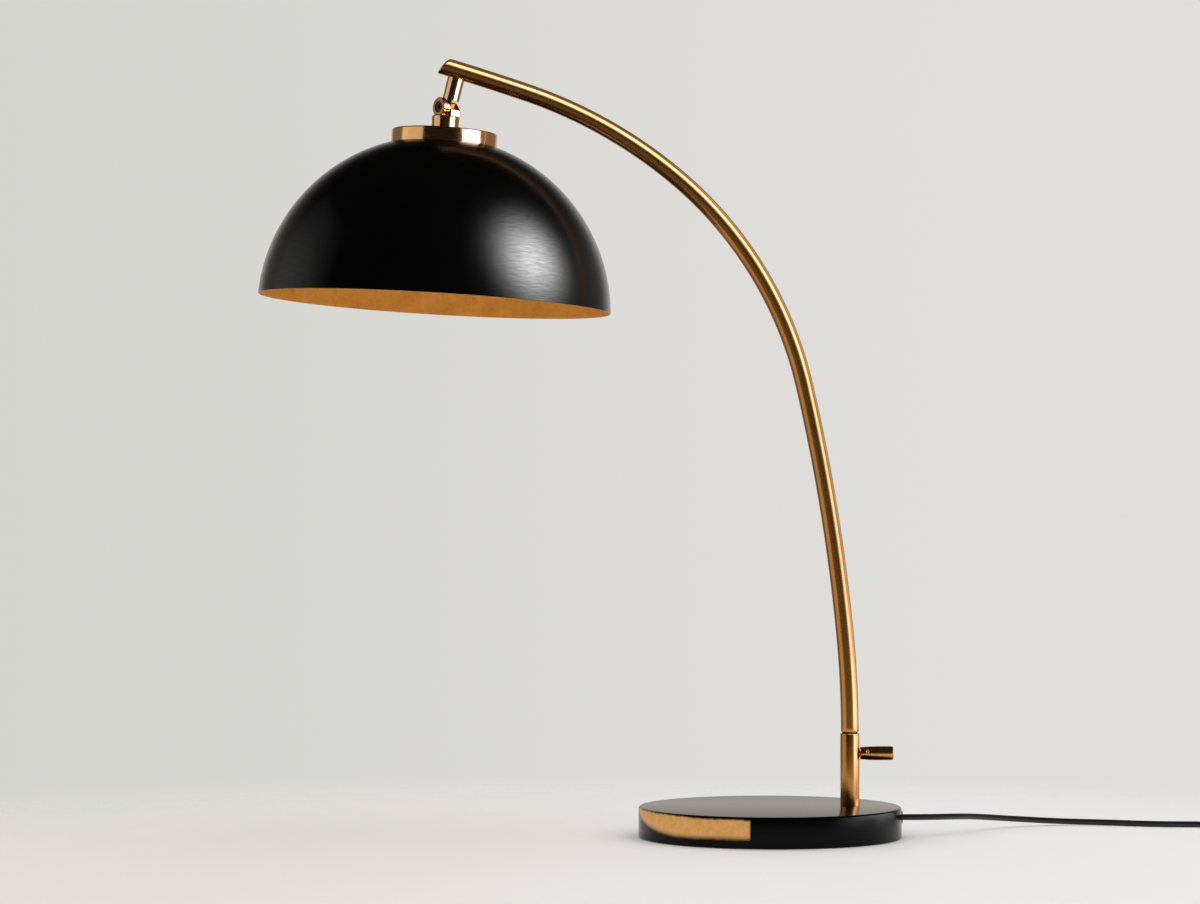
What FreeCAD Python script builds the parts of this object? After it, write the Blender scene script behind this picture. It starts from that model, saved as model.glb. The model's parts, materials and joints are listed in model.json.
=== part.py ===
import FreeCAD, Part
import math
import os
from FreeCAD import Vector

# Dome shade desk lamp, in millimetres.  +Z is up, the origin is the centre of the round base where
# it stands, +X runs from there past the stem to where the cord leaves, and the shade hangs at -X.

# ---------------------------------------------------------------- driving dimensions
BASE_R = 100.0                  # round base
BASE_TOP = 23.4
BASE_SHEET = 1.6                # pressed cover
COVER_FOOT = 0.7                # lower edge of the cover above the table
PAD_R = 93.0
PAD_TOP = 1.8
PLATE_TOP = 3.0
WEIGHT_R = 96.0

STEM_X = 61.0                   # axis of the post and of the arm's swivel
POST_R = 7.3
POST_TOP = 78.7
SPINDLE_R = 5.0                 # arm's spindle in the post
RUNNING_GAP = 0.05              # radial clearance of the running fits
SPINDLE_FOOT = 38.0
KNOB_Z = 63.6
KNOB_END_X = 94.0

ARM_R = 6.8
ARM_BORE_R = 5.6
ARM_FOOT = 79.6                 # on the thin washer on the post
ARM_FOOT_ROUND = 0.8            # rounding of the tube's lower edge
ARM_ARCS = [(781.0, 5.2), (1441.0, 7.8), (295.0, 36.6), (356.0, 21.4), (1674.0, 3.0)]   # radius, degrees
ARM_END = Vector(-249.3, 0, 588.6)     # middle of the slanted end
ARM_END_SLANT = 38.5            # degrees from upright
END_CAP = 3.0

PIVOT = Vector(-246.9, 0, 556.3)       # where the shade's tilt axis crosses its own axis
SHADE_LEAN = 3.3                # degrees, top towards +X
PIVOT_TURN = 50.0               # the tilt axis, turned from -Y towards -X
STUB_LEAN = 13.7
STUB_OFFSET = 2.0               # the stub's axis passes this far beside the pivot, towards +X
STUB_R = 6.5
STUB_BORE_R = 5.3
EAR_R = 7.5
THIN_EAR = (4.3, 7.6)           # from and to, along the tilt axis from the pivot
TONGUE = (0.9, 4.0)
THICK_EAR = (-8.6, 0.6)
THICK_CROWN_R = 4.8             # the thick ear is narrower and rounder at its top
SHOULDER = 50.0                 # degrees, fall of the thick ear's shoulders
TONGUE_R = 7.0
FORK_R = 10.7                   # at the top of its seat, with a slight taper to its foot
FORK_FOOT_R = 10.3
FORK_TOP = -6.4                 # heights below the pivot are on the shade's axis
PIVOT_PIN_R = 2.0

DOME_R = 134.8                  # outside of the spun dome
DOME_SHEET = 1.0
DOME_CENTRE = -157.4
RIM_ABOVE_CENTRE = 6.9
CROWN_FLAT_R = 14.0
CAP_R = 40.65
CAP_TOP = -18.6
CAP_SHEET = 2.0

THREAD_R = 5.0                  # the lamp's hollow threaded tubes
THREAD_BORE_R = 3.5
LEAD_R = 1.6                    # stripped lead inside the lamp

HOLDER_TOP = -28.3
HOLDER_R = 18.5
HOLDER_FOOT = -78.0
BULB_R = 22.5
BULB_CENTRE = -109.0

CORD_R = 2.3
CORD_EXIT = Vector(100.8, 0, 15.0)
CORD_ROUTE = [CORD_EXIT, Vector(122, 0, 15.0), Vector(143, 18, 14.0), Vector(162, 47, 11.4),
              Vector(195, 81, 6.6), Vector(235, 100, 2.9), Vector(272, 96, 2.4), Vector(307, 81, 2.4),
              Vector(341, 80, 2.4), Vector(369, 72, 2.4), Vector(387, 52, 4.4), Vector(391, 30, 7.5),
              Vector(391, 12, 7.5)]
SWITCH_X = 391.0
SWITCH_Y = (12.0, -60.0)        # where the cord goes in and comes out
SWITCH_Z = 7.5
LINK_ROUTE = [Vector(391, -60, 7.5), Vector(391, -73, 7.5), Vector(391, -91, 2.4), Vector(391, -105, 2.4)]

COIL_START = Vector(391, -110, 2.4)
COIL_RADII = [35.8 - 2.6 * half_turn for half_turn in range(8)]    # half turns, spiralling in
COIL_PITCH = 5.2                # between turns, and between the two layers
CLIMB_STEEPNESS = 0.6           # half way up the climb, as a share of pitch over radius

PLUG_BOOT = 24.0
PLUG_BODY = 34.0
PIN_R = 2.0
PIN_LENGTH = 19.0
PIN_SPACING = 18.6

UP = Vector(0, 0, 1)
X_AXIS = Vector(1, 0, 0)
Y_AXIS = Vector(0, 1, 0)
ORIGIN = Vector(0, 0, 0)
FAR = 400.0                     # larger than any piece that a cutting block trims


# ---------------------------------------------------------------- simple solids
def rod(radius, start, axis, length):
    return Part.makeCylinder(radius, length, start, axis)


def pipe(outer, inner, start, axis, length):
    return rod(outer, start, axis, length).cut(rod(inner, start, axis, length))


def upright(radius, z0, z1, x=0.0, y=0.0):
    return rod(radius, Vector(x, y, z0), UP, z1 - z0)


def block(x0, x1, y0, y1, z0, z1):
    return Part.makeBox(x1 - x0, y1 - y0, z1 - z0, Vector(x0, y0, z0))


def turned(outline, x=0.0, y=0.0):
    """A closed outline of (radius, height) points, turned about an upright axis."""
    points = [Vector(radius, 0, height) for radius, height in outline]
    face = Part.Face(Part.makePolygon(points + points[:1]))
    solid = face.revolve(ORIGIN, UP, 360)
    solid.translate(Vector(x, y, 0))
    return solid


def hexagon(across_flats, start, axis, height):
    """A six-sided prism, such as a nut, along any axis."""
    radius = across_flats / math.sqrt(3)
    corners = [Vector(radius * math.cos(math.radians(60 * k)), radius * math.sin(math.radians(60 * k)), 0)
               for k in range(7)]
    prism = Part.Face(Part.makePolygon(corners)).extrude(Vector(0, 0, height))
    prism.Placement = FreeCAD.Placement(start, FreeCAD.Rotation(UP, axis))
    return prism


def round_edges(solid, radius, wanted):
    """Rounds the edges whose middle point passes the test."""
    edges = [edge for edge in solid.Edges if wanted(edge.CenterOfMass)]
    return solid.makeFillet(radius, edges)


def fused(first, *others):
    return first.fuse(list(others)).removeSplitter()


def half_space(point, normal):
    """A large block that fills the side of a plane to which the normal points."""
    side = Part.makeBox(FAR, FAR, FAR, Vector(-FAR / 2, -FAR / 2, 0))
    side.Placement = FreeCAD.Placement(point, FreeCAD.Rotation(UP, normal))
    return side


# ---------------------------------------------------------------- paths and tubes
def swept(wire, radius):
    """A round bar of one radius along a smooth wire."""
    start = wire.OrderedEdges[0]
    heading = start.tangentAt(start.FirstParameter)
    ring = Part.Wire(Part.makeCircle(radius, start.valueAt(start.FirstParameter), heading))
    bar = Part.BRepOffsetAPI.MakePipeShell(wire)
    bar.add(ring)
    bar.build()
    bar.makeSolid()
    return bar.shape()


def arm_wire():
    """The arm's centreline: upright out of the post, then tangent arcs bending towards -X."""
    edges = []
    point = Vector(STEM_X, 0, ARM_FOOT)
    heading = 90.0
    for radius, sweep in ARM_ARCS:
        here, middle, there = [math.radians(heading + part * sweep) for part in (0, 0.5, 1)]
        centre = point + Vector(-math.sin(here), 0, math.cos(here)) * radius
        on_arc = centre + Vector(math.sin(middle), 0, -math.cos(middle)) * radius
        end = centre + Vector(math.sin(there), 0, -math.cos(there)) * radius
        edges.append(Part.Arc(point, on_arc, end).toShape())
        point = end
        heading += sweep
    return Part.Wire(edges)


def rounded_route(points, name):
    """Straight runs joined by tangent arcs, each as large as its two runs allow."""
    edges = []
    radii = []
    last = points[0]
    for before, corner, after in zip(points, points[1:], points[2:]):
        back = (before - corner).normalize()
        ahead = (after - corner).normalize()
        half_turn = (math.pi - back.getAngle(ahead)) / 2
        cut = 0.45 * min((before - corner).Length, (after - corner).Length)
        radii.append(cut / math.tan(half_turn))
        arc_start = corner + back * cut
        arc_end = corner + ahead * cut
        inwards = (back + ahead).normalize()
        middle = corner + inwards * radii[-1] * (1 / math.cos(half_turn) - 1)
        edges.append(Part.LineSegment(last, arc_start).toShape())
        edges.append(Part.Arc(arc_start, middle, arc_end).toShape())
        last = arc_end
    edges.append(Part.LineSegment(last, points[-1]).toShape())
    print(name, "bend radii, mm:", [round(radius) for radius in radii])
    return Part.Wire(edges)


def cord_tube(points, name, radius=CORD_R):
    wire = rounded_route(points, name)
    tube = swept(wire, radius)
    ratio = tube.Volume / (math.pi * radius ** 2 * wire.Length)
    print(name, "length, mm:", round(wire.Length, 1), "volume over section times length:", round(ratio, 4))
    return tube


# ---------------------------------------------------------------- base
def base_cover():
    pan = upright(BASE_R, COVER_FOOT, BASE_TOP)
    pan = round_edges(pan, 2.0, lambda c: c.z > BASE_TOP - 0.1)
    inside = upright(BASE_R - BASE_SHEET, COVER_FOOT - 1, BASE_TOP - BASE_SHEET)
    pan = pan.cut(inside)
    pan = pan.cut(upright(THREAD_R, 0, BASE_TOP + 1, STEM_X))
    return pan.cut(rod(4.0, Vector(90, 0, CORD_EXIT.z), X_AXIS, 20))


NUT_SEAT = 16.0                 # roof of the pocket for the stem's nut
POCKET_R = 13.0
CHANNEL_HALF = 5.5              # half width of the cord channel in the weight
CHANNEL_ROOF = 20.2


def base_weight():
    weight = upright(WEIGHT_R, PLATE_TOP, BASE_TOP - BASE_SHEET)
    weight = weight.makeChamfer(1.0, [e for e in weight.Edges if e.CenterOfMass.z > BASE_TOP - 3])
    weight = weight.cut(upright(THREAD_R, 0, BASE_TOP, STEM_X))
    weight = weight.cut(upright(POCKET_R, 0, NUT_SEAT, STEM_X))
    weight = weight.cut(block(STEM_X, BASE_R, -CHANNEL_HALF, CHANNEL_HALF, 0, CHANNEL_ROOF))
    for x, y in base_screw_places():
        weight = weight.cut(upright(BASE_SCREW_R, 0, BASE_SCREW_TOP, x, y))
    return weight


BASE_SCREW_R = 2.0
BASE_SCREW_TOP = 13.0
BASE_SCREW_CIRCLE = 78.0


def base_screw_places():
    for angle in (60, 180, 300):
        turn = math.radians(angle)
        yield BASE_SCREW_CIRCLE * math.cos(turn), BASE_SCREW_CIRCLE * math.sin(turn)


def base_plate():
    plate = upright(BASE_R - BASE_SHEET, PAD_TOP, PLATE_TOP)
    for x, y in base_screw_places():
        plate = plate.cut(turned(screw_outline(), x, y))
    return plate


def screw_outline():
    """Countersunk screw, head down, flush with the plate."""
    return [(0, PAD_TOP), (3.2, PAD_TOP), (BASE_SCREW_R, PLATE_TOP), (BASE_SCREW_R, BASE_SCREW_TOP),
            (0, BASE_SCREW_TOP)]


def base_screws():
    return Part.makeCompound([turned(screw_outline(), x, y) for x, y in base_screw_places()])


def felt_pad():
    return upright(PAD_R, 0, PAD_TOP)


GLAND_INNER_X = 78.5


def cord_gland():
    """Rubber bush through the cover's wall: a thin lip outside, a long taper round the cord inside."""
    at = Vector(0, 0, CORD_EXIT.z)
    lip = rod(4.9, at + Vector(96, 0, 0), X_AXIS, CORD_EXIT.x - 96).cut(upright(BASE_R, 0, 30))
    waist = rod(4.0, at + Vector(97.6, 0, 0), X_AXIS, CORD_EXIT.x - 97.6)
    shoulder = rod(5.0, at + Vector(94.2, 0, 0), X_AXIS, 6.0).common(upright(BASE_R - BASE_SHEET, 0, 30))
    taper = Part.makeCone(3.1, 4.6, 94.2 - GLAND_INNER_X, at + Vector(GLAND_INNER_X, 0, 0), X_AXIS)
    bush = fused(lip, waist, shoulder, taper)
    return bush.cut(rod(CORD_R, at + Vector(70, 0, 0), X_AXIS, 40))


def base_lead():
    """The cord's end in the gland, and the stripped lead from it up the stem."""
    jacket = rod(CORD_R, Vector(GLAND_INNER_X, 0, CORD_EXIT.z), X_AXIS, CORD_EXIT.x - GLAND_INNER_X)
    bottom = PLATE_TOP + LEAD_R + 0.4
    route = [Vector(GLAND_INNER_X + 1, 0, CORD_EXIT.z), Vector(75.5, 0, CORD_EXIT.z), Vector(69.5, 0, bottom),
             Vector(STEM_X, 0, bottom), Vector(STEM_X, 0, bottom + 12), Vector(STEM_X + 0.4, 0, 25),
             Vector(STEM_X, 0, SPINDLE_FOOT - 1.5)]
    return fused(jacket, cord_tube(route, "base_lead", LEAD_R))


# ---------------------------------------------------------------- post, swivel and its clamp
NIPPLE_FOOT = 10.5
NIPPLE_TOP = 34.0
CLAMP_R = 2.5                   # thread of the clamping screw
PAD_TIP_X = STEM_X + SPINDLE_R + 0.1


def stem_post():
    post = upright(POST_R, BASE_TOP, POST_TOP, STEM_X)
    post = round_edges(post, 0.5, lambda c: c.z > POST_TOP - 0.1)
    post = post.cut(upright(THREAD_R, BASE_TOP, NIPPLE_TOP, STEM_X))
    post = post.cut(upright(THREAD_BORE_R + 0.5, NIPPLE_TOP, SPINDLE_FOOT, STEM_X))
    post = post.cut(upright(SPINDLE_R + RUNNING_GAP, SPINDLE_FOOT - 0.5, POST_TOP, STEM_X))
    return post.cut(rod(CLAMP_R + RUNNING_GAP, Vector(STEM_X, 0, KNOB_Z), X_AXIS, 20))


def stem_nipple():
    return pipe(THREAD_R, THREAD_BORE_R, Vector(STEM_X, 0, NIPPLE_FOOT), UP, NIPPLE_TOP - NIPPLE_FOOT)


def stem_washer():
    return pipe(10.0, THREAD_R, Vector(STEM_X, 0, NUT_SEAT - 1.5), UP, 1.5)


def stem_nut():
    start = Vector(STEM_X, 0, NUT_SEAT - 4.5)
    return hexagon(14.0, start, UP, 3.0).cut(rod(THREAD_R, start, UP, 3.0))


def swivel_washer():
    """Thin dark washer between the post and the arm, seen as the joint line."""
    return pipe(ARM_R - 0.9, SPINDLE_R + RUNNING_GAP, Vector(STEM_X, 0, POST_TOP), UP,
                ARM_FOOT - POST_TOP - 0.1)


def arm_spindle():
    """Turned shaft: the upper part is fixed in the arm tube, the lower part turns in the post."""
    outline = [(THREAD_BORE_R, SPINDLE_FOOT), (SPINDLE_R, SPINDLE_FOOT), (SPINDLE_R, ARM_FOOT),
               (ARM_BORE_R, ARM_FOOT), (ARM_BORE_R, ARM_FOOT + 14), (THREAD_BORE_R, ARM_FOOT + 14)]
    return turned(outline, STEM_X).common(fused(upright(SPINDLE_R, 0, ARM_FOOT, STEM_X), ARM_BORE))


def clamp_pad():
    """Soft brass tip that the clamping screw pushes against the spindle."""
    return rod(CLAMP_R - 0.4, Vector(PAD_TIP_X, 0, KNOB_Z), X_AXIS, 1.2).cut(
        upright(SPINDLE_R + 0.1, KNOB_Z - 5, KNOB_Z + 5, STEM_X))


GRIP_FOOT_R = 4.7               # grip of the thumb screw, at the post and at its end
GRIP_R = 5.35
TOMMY_X = 74.3                  # cross hole for a tommy bar
TOMMY_R = 1.4
TOMMY_TILT = 20.0


def clamp_knob():
    """Thumb screw in one piece: threaded tip, and a long grip that widens towards its flat, slotted end."""
    start = PAD_TIP_X + 1.3
    grip = STEM_X + POST_R + 0.3
    profile = [(0, start), (CLAMP_R, start), (CLAMP_R, grip), (GRIP_FOOT_R - 0.5, grip), (GRIP_FOOT_R, grip + 0.5),
               (GRIP_R - 0.15, grip + 8.0), (GRIP_R, grip + 14.0), (GRIP_R, KNOB_END_X - 0.6),
               (GRIP_R - 0.6, KNOB_END_X), (0, KNOB_END_X)]
    knob = turned(profile)
    knob.Placement = FreeCAD.Placement(Vector(0, 0, KNOB_Z), FreeCAD.Rotation(UP, X_AXIS))
    slot = block(KNOB_END_X - 1.2, KNOB_END_X + 1, -0.6, 0.6, KNOB_Z - 10, KNOB_Z + 10)
    tilt = math.radians(TOMMY_TILT)
    across = Vector(0, -math.cos(tilt), math.sin(tilt))
    hole = rod(TOMMY_R, Vector(TOMMY_X, 0, KNOB_Z) - across * 10, across, 20)
    return knob.cut(slot).cut(hole)


# ---------------------------------------------------------------- arm
ARM_PATH = arm_wire()
ARM_BAR = swept(ARM_PATH, ARM_R)
ARM_BORE = swept(ARM_PATH, ARM_BORE_R)
END_NORMAL = Vector(-math.cos(math.radians(ARM_END_SLANT)), 0, math.sin(math.radians(ARM_END_SLANT)))
STUB_AXIS = Vector(math.sin(math.radians(STUB_LEAN)), 0, math.cos(math.radians(STUB_LEAN)))
STUB_START = PIVOT + X_AXIS * STUB_OFFSET
COLLAR_FOOT = 5.9               # lengths along the stub's axis from its start
STUB_FOOT = 8.6
STUB_REACH = 30.0
STUB_SEAT = 0.6                 # depth of the groove in the stub's flat end, in which the arm lies
STUB_ROOF = 2.5
LEAD_HOLE_R = 2.0


def arm_tube():
    bar = round_edges(ARM_BAR, ARM_FOOT_ROUND, lambda c: c.z < ARM_FOOT + 0.1)
    tube = bar.cut(ARM_BORE).cut(half_space(ARM_END - END_NORMAL * END_CAP, END_NORMAL))
    return tube.cut(rod(LEAD_HOLE_R, STUB_START, STUB_AXIS, STUB_REACH))


def arm_end_cap():
    """Slanted plug that closes the arm, its outer edge well rounded."""
    outside = half_space(ARM_END, END_NORMAL)
    disc = ARM_BAR.cut(outside).common(half_space(ARM_END - END_NORMAL * END_CAP, END_NORMAL))
    disc = round_edges(disc, 1.4, lambda c: (c - ARM_END).dot(END_NORMAL) > -0.2)
    spigot = ARM_BORE.cut(half_space(ARM_END - END_NORMAL * END_CAP, END_NORMAL))
    spigot = spigot.common(half_space(ARM_END - END_NORMAL * (END_CAP + 2.5), END_NORMAL))
    return fused(disc, spigot)


def arm_stub():
    """Short tube brazed under the arm: open below, closed above by a flat end with a shallow groove."""
    middle_line = Part.LineSegment(STUB_START, STUB_START + STUB_AXIS * STUB_REACH).toShape()
    crossing = middle_line.distToShape(ARM_PATH)[1][0][0]
    top = (crossing - STUB_START).dot(STUB_AXIS) - ARM_R + STUB_SEAT
    foot = STUB_START + STUB_AXIS * STUB_FOOT
    stub = rod(STUB_R, foot, STUB_AXIS, top - STUB_FOOT)
    stub = round_edges(stub, 0.6, lambda c: (c - STUB_START).dot(STUB_AXIS) > top - 0.1)
    stub = stub.cut(rod(STUB_BORE_R, foot, STUB_AXIS, top - STUB_ROOF - STUB_FOOT))
    return stub.cut(rod(LEAD_HOLE_R, foot, STUB_AXIS, STUB_REACH)).cut(ARM_BAR)


def arm_lead():
    """Stripped lead inside the arm, from the spindle to above the stub."""
    start = Vector(STEM_X, 0, SPINDLE_FOOT - 1.0)
    foot = Part.LineSegment(start, Vector(STEM_X, 0, ARM_FOOT)).toShape()
    wire = Part.Wire([foot] + ARM_PATH.OrderedEdges[:4])
    return swept(wire, LEAD_R)


# ---------------------------------------------------------------- tilt knuckle
def pivot_frame():
    """Directions at the knuckle: tilt axis, across it, and up the shade's own axis."""
    lean = math.radians(SHADE_LEAN)
    turn = math.radians(PIVOT_TURN)
    up = Vector(math.sin(lean), 0, math.cos(lean))
    towards = Vector(-math.sin(turn), -math.cos(turn), 0)
    tilt = (towards - up * towards.dot(up)).normalize()
    return tilt, up.cross(tilt), up


TILT, ACROSS, SHADE_UP = pivot_frame()
HEAD_PLACE = FreeCAD.Placement(PIVOT, FreeCAD.Rotation(TILT, ACROSS, SHADE_UP, "ZXY"))


def in_head(shape):
    """Moves a shape from the shade's own axes (tilt axis X, own axis Z, pivot at zero) to its place."""
    shape.Placement = HEAD_PLACE.multiply(shape.Placement)
    return shape


EDGE = 0.4                      # chamfer of the discs that make the knuckle
NOTCH_R = 8.4                   # room for the thin ear in the collar above the tongue


def chamfered_rod(radius, low, high, start=ORIGIN, axis=X_AXIS):
    """A short rod between two places along an axis, with both rims chamfered."""
    solid = rod(radius, start + axis * low, axis, high - low)
    rims = [edge for edge in solid.Edges if isinstance(edge.Curve, Part.Circle)]
    return solid.makeChamfer(EDGE, rims)


def knuckle_tongue():
    """Flat tongue, square to the tilt axis, under the collar of the stub's plug."""
    low, high = TONGUE
    round_end = chamfered_rod(TONGUE_R, low, high, PIVOT, TILT)
    lug = rod(STUB_R, STUB_START, STUB_AXIS, STUB_FOOT)
    lug = lug.common(rod(20, PIVOT + TILT * low, TILT, high - low))
    collar = rod(STUB_R, STUB_START + STUB_AXIS * COLLAR_FOOT, STUB_AXIS, STUB_FOOT - COLLAR_FOOT)
    collar = collar.cut(rod(NOTCH_R, PIVOT + TILT * high, TILT, 20))
    plug = rod(STUB_BORE_R, STUB_START + STUB_AXIS * STUB_FOOT, STUB_AXIS, 6.0)
    tongue = fused(round_end, lug, collar, plug)
    return tongue.cut(rod(PIVOT_PIN_R + RUNNING_GAP, PIVOT - TILT * 10, TILT, 20))


SCREW_HEAD_R = 3.7
SCREW_HEAD = 1.5
SCREW_RECESS = 2.1
NUT_FLATS = 6.4
NUT_HEIGHT = 2.0
NUT_RECESS = 2.4
SCREW_RECESS_R = 4.4
NUT_RECESS_R = 3.9
WASHER_R = 4.6
PILLAR_HALF = 4.5               # half width of the foot under the thin ear


def thick_ear():
    """Round top, sloping shoulders and straight sides, the outer end well rounded."""
    fall = math.radians(SHOULDER)
    outer, inner = THICK_EAR
    side = THICK_CROWN_R * math.sin(fall)
    height = THICK_CROWN_R * math.cos(fall)
    low = height - (EAR_R - side) * math.tan(fall)
    foot = FORK_TOP - 2
    crown = Part.Arc(Vector(outer, -side, height), Vector(outer, 0, THICK_CROWN_R), Vector(outer, side, height))
    corners = [(side, height), (EAR_R, low), (EAR_R, foot), (-EAR_R, foot), (-EAR_R, low), (-side, height)]
    places = [Vector(outer, y, z) for y, z in corners]
    lines = [Part.LineSegment(a, b).toShape() for a, b in zip(places, places[1:])]
    ear = Part.Face(Part.Wire([crown.toShape()] + lines)).extrude(Vector(inner - outer, 0, 0))
    ear = round_edges(ear, 2.5, lambda c: abs(c.z - low) < 0.1 and abs(c.x - (inner + outer) / 2) < 0.1)
    ear = round_edges(ear, 1.5, lambda c: c.x < outer + 0.1 and c.z > foot + 0.1)
    return ear.common(upright(FORK_R + 0.3, -20, 10))


def knuckle_fork():
    """Round block with a thin and a thick ear, seated on the shade's cap."""
    seat = Part.makeCone(FORK_FOOT_R, FORK_R, FORK_TOP - CAP_TOP, Vector(0, 0, CAP_TOP))
    seat = round_edges(seat, 1.0, lambda c: c.z > FORK_TOP - 0.1)
    thin_ear = chamfered_rod(EAR_R, *THIN_EAR)
    thin_foot = block(THIN_EAR[0], THIN_EAR[1] - 0.6, -PILLAR_HALF, PILLAR_HALF, FORK_TOP - 2, 0)
    fork = fused(seat, thin_ear, thin_foot, thick_ear())
    fork = fork.cut(block(THICK_EAR[1], THIN_EAR[0], -20, 20, FORK_TOP - 1.2, 20))
    fork = fork.cut(rod(PIVOT_PIN_R, Vector(-20, 0, 0), X_AXIS, 40))
    fork = fork.cut(rod(SCREW_RECESS_R, Vector(THIN_EAR[1] - SCREW_RECESS, 0, 0), X_AXIS, 10))
    fork = fork.cut(rod(NUT_RECESS_R, Vector(THICK_EAR[0] + NUT_RECESS - 10, 0, 0), X_AXIS, 10))
    return in_head(fork.cut(upright(THREAD_R, CAP_TOP - 1, FORK_TOP - 4.5)))


def pivot_screw():
    seat = THIN_EAR[1] - SCREW_RECESS
    head = rod(SCREW_HEAD_R, Vector(seat, 0, 0), X_AXIS, SCREW_HEAD)
    head = head.cut(hexagon(3.0, Vector(seat + 0.5, 0, 0), X_AXIS, 5))
    foot = THICK_EAR[0] + 0.3
    return in_head(fused(head, rod(PIVOT_PIN_R, Vector(foot, 0, 0), X_AXIS, seat - foot)))


def pivot_nut():
    start = Vector(THICK_EAR[0] + NUT_RECESS - NUT_HEIGHT, 0, 0)
    return in_head(hexagon(NUT_FLATS, start, X_AXIS, NUT_HEIGHT).cut(rod(PIVOT_PIN_R, start, X_AXIS, NUT_HEIGHT)))


def friction_washers():
    """One thin ring each side of the tongue, against the ears."""
    places = (THIN_EAR[0] - 0.2, THICK_EAR[1])
    rings = [pipe(WASHER_R, PIVOT_PIN_R, Vector(x, 0, 0), X_AXIS, 0.2) for x in places]
    return in_head(Part.makeCompound(rings))


# ---------------------------------------------------------------- shade
CROWN = DOME_CENTRE + math.sqrt(DOME_R ** 2 - CROWN_FLAT_R ** 2)    # flat seat at the dome's crown
RIM = DOME_CENTRE + RIM_ABOVE_CENTRE


def dome_outline():
    """Half section of the spun sheet: rim, round wall and the flat at the crown."""
    inner_r = DOME_R - DOME_SHEET
    rim_angle = math.asin(RIM_ABOVE_CENTRE / DOME_R)
    crown_angle = math.acos(CROWN_FLAT_R / DOME_R)
    middle = (rim_angle + crown_angle) / 2

    def at(radius, angle):
        return Vector(radius * math.cos(angle), 0, DOME_CENTRE + radius * math.sin(angle))

    inner_rim = math.asin(RIM_ABOVE_CENTRE / inner_r)
    inner_crown = math.asin((CROWN - DOME_SHEET - DOME_CENTRE) / inner_r)
    outer = Part.Arc(at(DOME_R, rim_angle), at(DOME_R, middle), at(DOME_R, crown_angle)).toShape()
    inner = Part.Arc(at(inner_r, inner_crown), at(inner_r, middle), at(inner_r, inner_rim)).toShape()
    hole_top = Vector(THREAD_R, 0, CROWN)
    hole_foot = Vector(THREAD_R, 0, CROWN - DOME_SHEET)
    corners = [(at(DOME_R, crown_angle), hole_top), (hole_top, hole_foot), (hole_foot, at(inner_r, inner_crown)),
               (at(inner_r, inner_rim), at(DOME_R, rim_angle))]
    top, hole, under, rim = [Part.LineSegment(a, b).toShape() for a, b in corners]
    return Part.Wire([outer, top, hole, under, inner, rim])


def shade_dome():
    return in_head(Part.Face(dome_outline()).revolve(ORIGIN, UP, 360))


def shade_cap():
    """Brass disc with a skirt that sits on the dome."""
    cap = upright(CAP_R, CROWN - 12, CAP_TOP)
    cap = round_edges(cap, 1.2, lambda c: c.z > CAP_TOP - 0.1)
    cap = cap.cut(upright(CAP_R - CAP_SHEET, CROWN - 13, CAP_TOP - CAP_SHEET))
    cap = cap.cut(Part.makeSphere(DOME_R, Vector(0, 0, DOME_CENTRE)))
    return in_head(cap.cut(upright(THREAD_R, CROWN - 13, CAP_TOP + 1)))


def cap_spacer():
    return in_head(pipe(12.0, THREAD_R, Vector(0, 0, CROWN), UP, CAP_TOP - CAP_SHEET - CROWN))


def shade_nipple():
    foot = HOLDER_TOP - 6.0
    return in_head(pipe(THREAD_R, THREAD_BORE_R, Vector(0, 0, foot), UP, FORK_TOP - 4.6 - foot))


def shade_washer():
    return in_head(pipe(12.0, THREAD_R, Vector(0, 0, CROWN - DOME_SHEET - 1.0), UP, 1.0))


def shade_nut():
    start = Vector(0, 0, HOLDER_TOP)
    height = CROWN - DOME_SHEET - 1.0 - HOLDER_TOP
    return in_head(hexagon(14.0, start, UP, height).cut(rod(THREAD_R, start, UP, height)))


# ---------------------------------------------------------------- lampholder and bulb
HOLDER_SPLIT = -50.0
SCREW_R = 13.2                  # outside of the bulb's threaded cap
INSULATOR_TOP = -46.0
INSULATOR_FOOT = -53.0


def holder_cap():
    """Upper half of the lampholder, screwed on the threaded tube."""
    cap = upright(HOLDER_R, HOLDER_SPLIT, HOLDER_TOP)
    cap = round_edges(cap, 5.0, lambda c: c.z > HOLDER_TOP - 0.1)
    cavity = upright(HOLDER_R - 1.5, HOLDER_SPLIT - 1, HOLDER_TOP - 7.0)
    return in_head(cap.cut(cavity).cut(upright(THREAD_R, HOLDER_SPLIT, HOLDER_TOP + 1)))


def holder_skirt():
    """Lower half of the lampholder, round the screw shell."""
    return in_head(pipe(HOLDER_R, HOLDER_R - 1.5, Vector(0, 0, HOLDER_FOOT), UP, HOLDER_SPLIT - HOLDER_FOOT))


def holder_insulator():
    """Ceramic disc that carries the contacts, with two holes for the lead's wires."""
    disc = upright(HOLDER_R - 1.5, INSULATOR_FOOT, INSULATOR_TOP)
    for y in (-9.0, 9.0):
        disc = disc.cut(upright(1.8, INSULATOR_FOOT - 1, INSULATOR_TOP + 1, 0, y))
    return in_head(disc)


def holder_screw_shell():
    return in_head(pipe(SCREW_R + 1.0, SCREW_R + 0.2, Vector(0, 0, HOLDER_FOOT + 2), UP,
                        INSULATOR_FOOT - HOLDER_FOOT - 2))


def holder_contact():
    """Springy middle contact."""
    foot = block(-3, 9, -2.5, 2.5, INSULATOR_FOOT - 0.8, INSULATOR_FOOT)
    return in_head(fused(foot, upright(2.5, INSULATOR_FOOT - 2.0, INSULATOR_FOOT - 0.8)))


def holder_lead():
    """Stripped lead from the knuckle, down the threaded tube to the contacts."""
    return in_head(rod(LEAD_R, Vector(0, 0, INSULATOR_TOP), UP, FORK_TOP - 4.8 - INSULATOR_TOP))


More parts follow.
